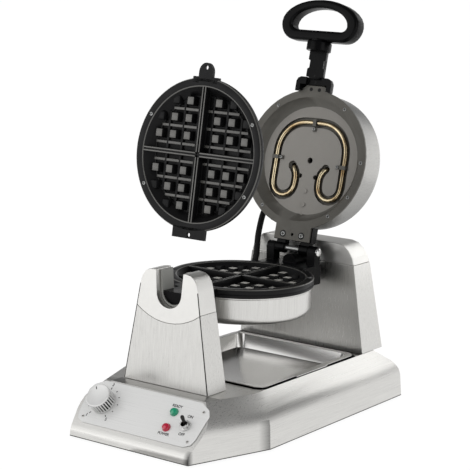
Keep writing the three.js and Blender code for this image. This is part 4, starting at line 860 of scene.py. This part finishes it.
class WAFFLE_OT_grids(bpy.types.Operator):
    """Build both waffle grids and the screws that hold them"""

    bl_idname = "waffle.grids"
    bl_label = "Waffle grids"

    def execute(self, context):
        # The lower grid's inner post tops take a brighter painted highlight.
        show("lower_waffle_grid", waffle_grid(), ROTOR, "coating", "rotor",
             ("lower_grid_plate",), crease=38, others=("worn", "rubbed"))
        loose = gathered([waffle_grid()] + grid_tabs())
        show("loose_waffle_grid", loose, LOOSE_GRID, "coating", "upper_plate",
             ("upper_grid_plate",), crease=38, others=("worn", "worn"))
        head = build_settings()[0].screw_head / MM
        across, along = 83, 47
        spots = [(side * across, end * along, 0) for side in (-1, 1) for end in (-1, 1)]
        screws("lower_grid_screws", spots, ROTOR, "rotor", radius=head, height=0.9)
        screws("loose_grid_screws", spots, LOOSE_GRID, "upper_plate", radius=head, height=0.9)
        return {"FINISHED"}


class WAFFLE_OT_lid_inside(bpy.types.Operator):
    """Finish the castings, heaters, clips and their screws"""

    bl_idname = "waffle.lid_inside"
    bl_label = "Castings and heaters"

    def execute(self, context):
        floor_low, floor_high = -16.9, -12
        for node, place, body, dark in (("lid_casting", LID_RECESS, "lid", "soot"),
                                        ("lower_casting", LOWER_RECESS, "rotor", "coating")):
            made = merged_copy(node)
            into = place.inverted()
            for face in made.faces:
                depths = [(into @ corner.co).z for corner in face.verts]
                in_floor = floor_low < min(depths) and max(depths) < floor_high
                face.material_index = 0 if in_floor else 1
            cast = show(node + "_finished", made, None, "casting", body, (node,), crease=30,
                        others=(dark,))
            even = cast.modifiers.new("even shading", "WEIGHTED_NORMAL")
            even.keep_sharp = True
        dressed("lid_heater", "sheath", "lid", crease=60)
        dressed("lower_heater", "sheath", "rotor", crease=60)
        for side in ("top", "left", "right"):
            dressed("heater_clip_" + side, "soot", "lid")
        # Six screws round the rim, and two where the hinge's flange is held, on dark discs that are
        # painted shade round their heads
        ring, lift, flange_back, flange_side = 95, 0.05, -111.3, 15.8
        seat_radius, seat_rise = 5.0, 0.2
        heads = [pan_screw((ring * cos(turn), ring * sin(turn), lift), radius=2.7, height=0.8)
                 for turn in map(radians, (128.6, 55, 2.5, -29.5, -54.6, -128.7))]
        for side in (-flange_side, flange_side):
            heads.append(pan_screw((side, flange_back, lift), radius=3.4, height=1.2))
            # A dark disc under each of these two heads: painted shade.
            seat = turned([(0, 0), (seat_radius, 0), (seat_radius, seat_rise), (0, seat_rise)], 32)
            heads.append(moved(marked(seat, 1), placed((side, flange_back, 0))))
        show("lid_screws", gathered(heads), LID_RECESS, "zinc", "lid", others=("joint",))
        clips = ((0, 46.3, -13.4), (-49.3, 0, -13.4), (49.3, -5, -13.4))
        screws("clip_screws", clips, LID_RECESS, "lid", radius=2.4, height=1.2)
        return {"FINISHED"}


class WAFFLE_OT_hinge(bpy.types.Operator):
    """Finish the hinge, its pin with a domed end, the stop collar and the journals it turns with"""

    bl_idname = "waffle.hinge"
    bl_label = "Hinge and journals"

    def execute(self, context):
        edge = build_settings()[0].edge
        dressed("rear_journal", "phenolic", "rotor", edge)
        dressed("front_journal", "phenolic", "rotor", edge * 0.6, crease=34)
        dressed("lid_hinge_bracket", "phenolic", "lid", edge)
        dressed("stop_collar", "zinc", "rotor")
        pin = turned([
            (0, -45), (4.6, -45), (5.6, -44.6), (6, -43.8), (6, -42.5), (4, -42.4), (4, 42.4),
            (5.4, 42.5), (5.4, 43.2), (0, 43.2)], 40)
        dome = turned([
            (0, 42.6), (6.6, 42.6), (6.6, 43.4), (6.3, 44.3), (5.4, 45.3), (3.6, 46.1), (0, 46.5)],
            40)
        across = placed((0, HINGE_BACK, HINGE_RISE), pi / 2, "Y")
        show("hinge_pin_shank", moved(pin, across), ROTOR, "zinc", "rotor", ("hinge_pin",))
        show("hinge_pin_dome", moved(dome, across), ROTOR, "polished", "rotor")
        return {"FINISHED"}


def arch(half, heel, low, belly, high):
    """Points round a D that lies on its flat side, from the middle of that side."""
    bow, steps = 0.55, 9
    runs = (
        ((0, low), (heel / 3, low), (heel * 2 / 3, low), (heel, low)),
        ((heel, low), (heel + (half - heel) * bow, low), (half, belly - (belly - low) * bow),
         (half, belly)),
        ((half, belly), (half, belly + (high - belly) * bow), (half * bow, high), (0, high)),
    )
    right = []
    for run in runs:
        knots = [Vector((x, y, 0)) for x, y in run]
        right += interpolate_bezier(*knots, steps)[:-1]
    left = [Vector((-point.x, point.y, 0)) for point in right[:0:-1]]
    return right + [Vector((0, high, 0))] + left


def handle_grip():
    """The D-shaped grip: a flattened ring under one long arch, rounded all over."""
    thickness, rounding = 23.6, 5.0
    outside, inside = arch(65, 40, 170.5, 196, 231), arch(46.5, 37, 186, 194, 219)
    ring = bmesh.new()
    for outline in (outside, inside):
        loop = [ring.verts.new(point) for point in outline]
        for pair in zip(loop, loop[1:] + loop[:1]):
            ring.edges.new(pair)
    bmesh.ops.bridge_loops(ring, edges=ring.edges[:])
    thickened(ring, thickness)
    bmesh.ops.translate(ring, vec=(0, 0, -thickness / 2), verts=ring.verts)
    rims = [edge for edge in ring.edges
            if edge.is_manifold and edge.calc_face_angle() > radians(50)]
    bmesh.ops.bevel(ring, geom=rims, offset=rounding, offset_type="OFFSET", segments=4,
                    profile=0.5, affect="EDGES", material=-1, clamp_overlap=True)
    return ring


def handle_shaft():
    """The handle's arm, half round as far as the stop, which is fully round."""
    arm = turned([
        (0, 119.4), (13.6, 119.4), (14.5, 120.4), (14.5, 130.2), (13.9, 131.4), (11.5, 132.6),
        (11.5, 143.4), (13.8, 144.2), (14.5, 145.2), (14.5, 158), (0, 158)], 64)
    cut(arm, (0, 0.15, 0), (0, -1, 0), clear_outer=True)
    bmesh.ops.holes_fill(arm, edges=[edge for edge in arm.edges if edge.is_boundary], sides=0)
    web = block(20, 13.2, 116.5, 157.5, (0, 6.9), rounding=1.2)
    stop = turned([
        (0, 157), (17.2, 157), (18, 157.8), (18, 168.6), (17.4, 169.8), (16, 170.3),
        (13, 171.2), (13, 174), (0, 174)], 64)
    return gathered([arm, web, stop])


class WAFFLE_OT_handle(bpy.types.Operator):
    """Build the handle: yoke, turned shaft and D grip"""

    bl_idname = "waffle.handle"
    bl_label = "Handle"

    def execute(self, context):
        dressed("handle_yoke", "phenolic", "lid", build_settings()[0].edge * 0.8)
        forward = LID @ Matrix.Rotation(pi / 2, 4, "X")
        show("handle_shaft_turned", handle_shaft(), forward, "phenolic", "lid", ("handle_shaft",))
        # Screw holes in the shaft, the yoke and the rim before it, as thin dark discs
        low, high = -0.15, 0.3
        spots = ((0, -121.0, 0.15, 1.7), (0, -112.4, 5.6, 1.7), (-7, -102, 8.3, 2.7),
                 (7, -102, 8.3, 2.7))
        holes = [moved(turned([(0, low), (radius, low), (radius, high), (0, high)], 24),
                       placed((x, y, z))) for x, y, z, radius in spots]
        show("dark_holes", gathered(holes), LID, "joint", "lid")
        flat = LID @ Matrix.Rotation(pi, 4, "X")
        show("handle_grip_rounded", handle_grip(), flat, "phenolic", "lid", ("handle_grip",),
             crease=60)
        return {"FINISHED"}


class WAFFLE_OT_lead(bpy.types.Operator):
    """Finish the lead between the halves and its glands"""

    bl_idname = "waffle.lead"
    bl_label = "Lid lead"

    def execute(self, context):
        lead = dressed("lid_lead", "rubber", None, crease=60, smoothing=1)
        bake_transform(lead)
        dressed("lid_lead_gland", "rubber", "lid", FINE_EDGE)
        dressed("lower_lead_gland", "rubber", "rotor", FINE_EDGE)
        return {"FINISHED"}


def knob_pieces():
    """The dial's ribbed skirt and dished face as one mesh, the core, made black to paint the shade
    between the ribs, and the pointer.
    """
    seat, rib_count, rib_out = 2.5, 28, 16.3
    core = turned([(0, seat), (15.7, seat), (15.7, 19.4), (0, 19.4)], 64)
    face = turned([(0, 18.4), (17.0, 18.4), (17.2, 18.8), (17.1, 19.6), (16.6, 20.3),
                   (15.8, 20.5), (15.2, 20.3), (0, 20.2)], 96)
    foot = turned([(0, seat), (17.3, seat), (17.3, 3.4), (0, 3.4)], 64)
    ribs = [moved(block(2.0, 1.75, 3.0, 18.8, (rib_out, 0), rounding=0.4),
                  Matrix.Rotation(2 * pi * i / rib_count, 4, "Z")) for i in range(rib_count)]
    pointer = block(1.4, 4.6, 19.85, 20.35, (0, 12.6), rounding=0.1)
    return gathered([face, foot] + ribs), core, pointer


class WAFFLE_OT_controls(bpy.types.Operator):
    """Build the control plate, dial, lamps and switch"""

    bl_idname = "waffle.controls"
    bl_label = "Controls"

    def execute(self, context):
        dressed("control_plate", "label", "base", PLATE_EDGE)
        knob, core, pointer = knob_pieces()
        at_knob = placed((*DIAL, 0), radians(38))
        show("dial_knob", moved(knob, at_knob), PANEL, "dial", "knob", ("control_knob",))
        # The core is black: painted shade in the grooves between the ribs.
        show("dial_grooves", moved(core, at_knob), PANEL, "joint", "knob")
        show("dial_pointer", moved(pointer, at_knob), PANEL, "ink", "knob")
        for name, up, finish in (("ready", READY_UP, "green"), ("power", POWER_UP, "red")):
            lens = turned([(0, 1.6), (5.2, 1.6), (5.4, 2.4), (5.3, 4.0), (4.6, 5.4), (3.2, 6.2),
                           (0, 6.6)], 48)
            collar = turned([(0, 1.4), (6.0, 1.4), (6.0, 2.2), (5.6, 2.6), (0, 2.6)], 48)
            spot = placed((LAMP_SIDE, up, 0))
            show(name + "_lens", moved(lens, spot), PANEL, finish, "base", (name + "_lamp",))
            show(name + "_collar", moved(collar, spot), PANEL, finish, "base")
        dressed("switch_bushing", "polished", "base", FINE_EDGE)
        lever = turned([(0, -2.8), (1.6, -2.4), (2.8, -0.8), (2.8, 0.8), (1.9, 2.4), (1.7, 3.4),
                        (2.1, 9), (2.6, 14.6), (2.55, 16.4), (1.7, 17.7), (0, 18)], 32)
        pivot = placed((SWITCH_SIDE, SWITCH_UP, 1.6), radians(-17), "X")
        show("switch_lever_turned", moved(lever, pivot), PANEL, "blued", "switch",
             ("switch_lever",))
        dressed("switch_body", "phenolic", "base", crease=32)
        dressed("thermostat", "zinc", "base", crease=32)
        dressed("terminal_block", "phenolic", "base", FINE_EDGE, 32)
        corners = [(x, y, PLATE_FACE) for x, y in ((-87, 20), (87, 20), (-89, 65), (89, 65))]
        screws("panel_screws", corners, PANEL, "base", radius=2.2, height=0.9, finish="cap",
               recess="soot")
        return {"FINISHED"}


def on_dial(turn, reach):
    """A point of the control plate at an angle and a distance from the dial's centre."""
    return DIAL[0] + reach * cos(turn), DIAL[1] + reach * sin(turn)


def printed(text, height, x, y):
    """A word or figure as a thin layer of ink, centred on a point of the control plate."""
    size_to_height, ink_rise, ink_spread = 1.4, 0.03, 0.16
    curve = bpy.data.curves.new("print", "FONT")
    curve.body, curve.size = text, height * size_to_height
    curve.align_x, curve.align_y = "CENTER", "CENTER"
    curve.extrude, curve.offset = ink_rise, ink_spread
    carrier = in_scene("print", curve)
    bpy.context.view_layer.update()
    shape = carrier.evaluated_get(bpy.context.evaluated_depsgraph_get()).to_mesh()
    made = bmesh.new()
    made.from_mesh(shape)
    bpy.data.objects.remove(carrier)
    bpy.data.curves.remove(curve)
    return moved(made, placed((x, y, INK_LEVEL)))


class WAFFLE_OT_printing(bpy.types.Operator):
    """Print the dial's marks and figures, and the words of the lamps and the switch"""

    bl_idname = "waffle.printing"
    bl_label = "Printing"

    def execute(self, context):
        letter = build_settings()[0].letter / MM
        start, sweep, marks = radians(234), radians(288), 10
        mark_ring, figure_ring, mark_width = 22.4, 28, 1.3
        prints = []
        for i in range(marks + 1):
            turn = start - sweep * i / marks
            tick = box((1.9 if i % 5 else 3.0, mark_width, 0.06), (0, 0, 0), 0.01)
            prints.append(moved(tick, placed((*on_dial(turn, mark_ring), INK_LEVEL), turn)))
        for i, figure in enumerate("135"):
            prints.append(printed(figure, letter * 0.95, *on_dial(start - sweep * i / 2, figure_ring)))
        for word, share, x, y in (("ON", 0.85, SWITCH_SIDE, 55), ("OFF", 0.85, SWITCH_SIDE, 28.5),
                                  ("READY", 0.8, LAMP_SIDE, 65.5), ("POWER", 0.8, LAMP_SIDE, 23.4)):
            prints.append(printed(word, letter * share, x, y))
        show("plate_printing", gathered(prints), PANEL, "ink", "base")
        return {"FINISHED"}


# Stage

def lamp(name, at, towards, size, power):
    """A soft rectangular studio lamp."""
    light = bpy.data.lights.new(name, "AREA")
    light.shape, light.energy = "RECTANGLE", power
    light.size, light.size_y = size
    in_scene(name, light).matrix_world = aimed(at, towards, "-Z")


def card(name, at, towards, size, tone, glow=0.0):
    """A card hidden from the camera, grey or glowing, which gives the steel something to reflect."""
    made = bmesh.new()
    bmesh.ops.create_grid(made, x_segments=1, y_segments=1, size=0.5)
    mesh = as_mesh(name, moved(made, aimed(at, towards) @ Matrix.Diagonal((*size, 1, 1))))
    paper = new_material(name, linear(tone), Roughness=0.9, Emission_Strength=glow)[0]
    mesh.materials.append(paper)
    stand = in_scene(name, mesh)
    stand.visible_camera = stand.visible_shadow = stand.visible_diffuse = False


def white_floor():
    """A wide floor of white paper that the camera and the steel see as bright as the sky."""
    reach, brightness, seen_share = 40, 1.07, 0.86
    floor = bmesh.new()
    bmesh.ops.create_circle(floor, cap_ends=True, segments=64, radius=reach)
    mesh = as_mesh("floor", floor)
    paper, tree, shader = new_material("white paper", linear("F4F4F3"), Roughness=0.9)
    rays = add(tree, "ShaderNodeLightPath")
    bright = add(tree, "ShaderNodeEmission", {"Strength": brightness})
    seen = add(tree, "ShaderNodeMath", {
        0: rays.outputs["Is Camera Ray"], 1: rays.outputs["Is Glossy Ray"]}, operation="MAXIMUM")
    share = add(tree, "ShaderNodeMath", {0: seen.outputs[0], 1: seen_share}, operation="MULTIPLY")
    both = add(tree, "ShaderNodeMixShader", {
        0: share.outputs[0], 1: shader.outputs[0], 2: bright.outputs[0]})
    tree.links.new(both.outputs[0], tree.nodes["Material Output"].inputs["Surface"])
    mesh.materials.append(paper)
    in_scene("floor", mesh)


def studio_sky(scene, strength):
    """Even light from all round, white to the camera and dimmer high up to what mirrors it."""
    world = bpy.data.worlds.new("studio")
    world.use_nodes = True
    scene.world = world
    tree = world.node_tree
    rays = add(tree, "ShaderNodeLightPath")
    seen = add(tree, "ShaderNodeMath", {
        0: rays.outputs["Is Camera Ray"], 1: rays.outputs["Is Transmission Ray"]},
        operation="MAXIMUM")
    # Polished parts mirror a studio that is white near the floor and dim towards its roof
    aim = add(tree, "ShaderNodeTexCoord").outputs["Generated"]
    height = add(tree, "ShaderNodeSeparateXYZ", {0: aim}).outputs["Z"]
    roof = add(tree, "ShaderNodeMapRange", {
        "Value": height, "From Min": 0.04, "From Max": 0.32, "To Min": 1.0, "To Max": 0.22})
    shiny = add(tree, "ShaderNodeMix", {
        0: rays.outputs["Is Glossy Ray"], 2: strength, 3: roof.outputs[0]})
    level = add(tree, "ShaderNodeMix", {0: seen.outputs[0], 2: shiny.outputs[0], 3: 1.0})
    tree.links.new(level.outputs[0], tree.nodes["Background"].inputs["Strength"])
    tree.nodes["Background"].inputs["Color"].default_value = (1, 1, 1, 1)


def photo_camera(scene, lens):
    """The photograph's camera, fitted by its angles, its distance and the point it looks at."""
    azimuth, pitch, roll = radians(35.13), radians(10.55), radians(1.74)
    target, distance = Vector((-0.01244, 0, 0.25324)), 2.3228
    right = Vector((cos(azimuth), sin(azimuth), 0))
    back = Vector((sin(azimuth) * cos(pitch), -cos(azimuth) * cos(pitch), sin(pitch)))
    up = back.cross(right)
    across = cos(roll) * right + sin(roll) * up
    rise = cos(roll) * up - sin(roll) * right
    camera = in_scene("camera", bpy.data.cameras.new("camera"))
    camera.data.lens, camera.data.sensor_width, camera.data.clip_end = lens, 36.0, 100
    facing = Matrix((across, rise, back)).transposed().to_4x4()
    camera.matrix_world = Matrix.Translation(target + distance * back) @ facing
    scene.camera = camera


class WAFFLE_OT_stage(bpy.types.Operator):
    """Set up the floor, lamps, cards, room light and camera"""

    bl_idname = "waffle.stage"
    bl_label = "Stage"

    def execute(self, context):
        chosen = build_settings()[2]
        white_floor()
        studio_sky(context.scene, chosen.sky)
        lamp("key", (-1.55, -2.0, 1.3), (0, -0.1, 0.2), (2.4, 2.4), chosen.key)
        lamp("fill", (2.2, -0.6, 1.3), (0, 0, 0.25), (1.2, 1.6), chosen.fill)
        lamp("rear", (0.4, 1.83, 1.27), (0.12, 0, 0.06), (1.0, 0.6), chosen.rear)
        card("card behind", (-1.1, 0.5, 0.35), (0, 0, 0.3), (0.7, 0.9), "3A3A3C")
        card("card on the left", (-0.32, -0.11, 0.09), (-0.1, 0.2, 0.1), (0.34, 0.18), "6A6968")
        card("card behind the side", (0.29, 0.6, 0.42), (0.29, 0, 0.42), (0.43, 0.5), "FBFBFB",
             glow=0.7)
        card("card on the floor", (0.05, -0.3, 0.002), (0.05, -0.3, 1), (0.1, 0.1), "C0BFBE")
        photo_camera(context.scene, chosen.lens)
        context.scene.view_settings.view_transform = "Standard"
        return {"FINISHED"}


class WAFFLE_PT_pieces(bpy.types.Panel):
    """Lists the machine's sizes, finishes and pieces"""

    bl_idname = "WAFFLE_PT_pieces"
    bl_label = "Waffle Maker"
    bl_space_type = "VIEW_3D"
    bl_region_type = "UI"
    bl_category = "Waffle Maker"

    def draw(self, context):
        for group in build_settings():
            column = self.layout.column(align=True)
            for name in group.bl_rna.properties.keys():
                if name not in ("rna_type", "name"):
                    column.prop(group, name)
        for operator in OPERATORS:
            self.layout.operator(operator.bl_idname)


SETTINGS = (WaffleSizes, WaffleFinishes, WaffleStage)
OPERATORS = (
    WAFFLE_OT_stage, WAFFLE_OT_base, WAFFLE_OT_towers, WAFFLE_OT_tray, WAFFLE_OT_drums,
    WAFFLE_OT_grids, WAFFLE_OT_lid_inside, WAFFLE_OT_hinge, WAFFLE_OT_handle, WAFFLE_OT_lead,
    WAFFLE_OT_controls, WAFFLE_OT_printing,
)
CLASSES = SETTINGS + OPERATORS + (WAFFLE_PT_pieces,)


def register():
    for group in CLASSES:
        bpy.utils.register_class(group)
    bpy.types.Scene.waffle_sizes = bpy.props.PointerProperty(type=WaffleSizes)
    bpy.types.Scene.waffle_finishes = bpy.props.PointerProperty(type=WaffleFinishes)
    bpy.types.Scene.waffle_stage = bpy.props.PointerProperty(type=WaffleStage)


def unregister():
    del bpy.types.Scene.waffle_stage
    del bpy.types.Scene.waffle_finishes
    del bpy.types.Scene.waffle_sizes
    for group in reversed(CLASSES):
        bpy.utils.unregister_class(group)


def main():
    """Builds every piece in order."""
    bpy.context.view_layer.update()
    register()
    mix_finishes(bpy.context.scene.waffle_finishes)
    for operator in OPERATORS:
        group, name = operator.bl_idname.split(".")
        getattr(getattr(bpy.ops, group), name)()


if __name__ == "__main__":
    main()
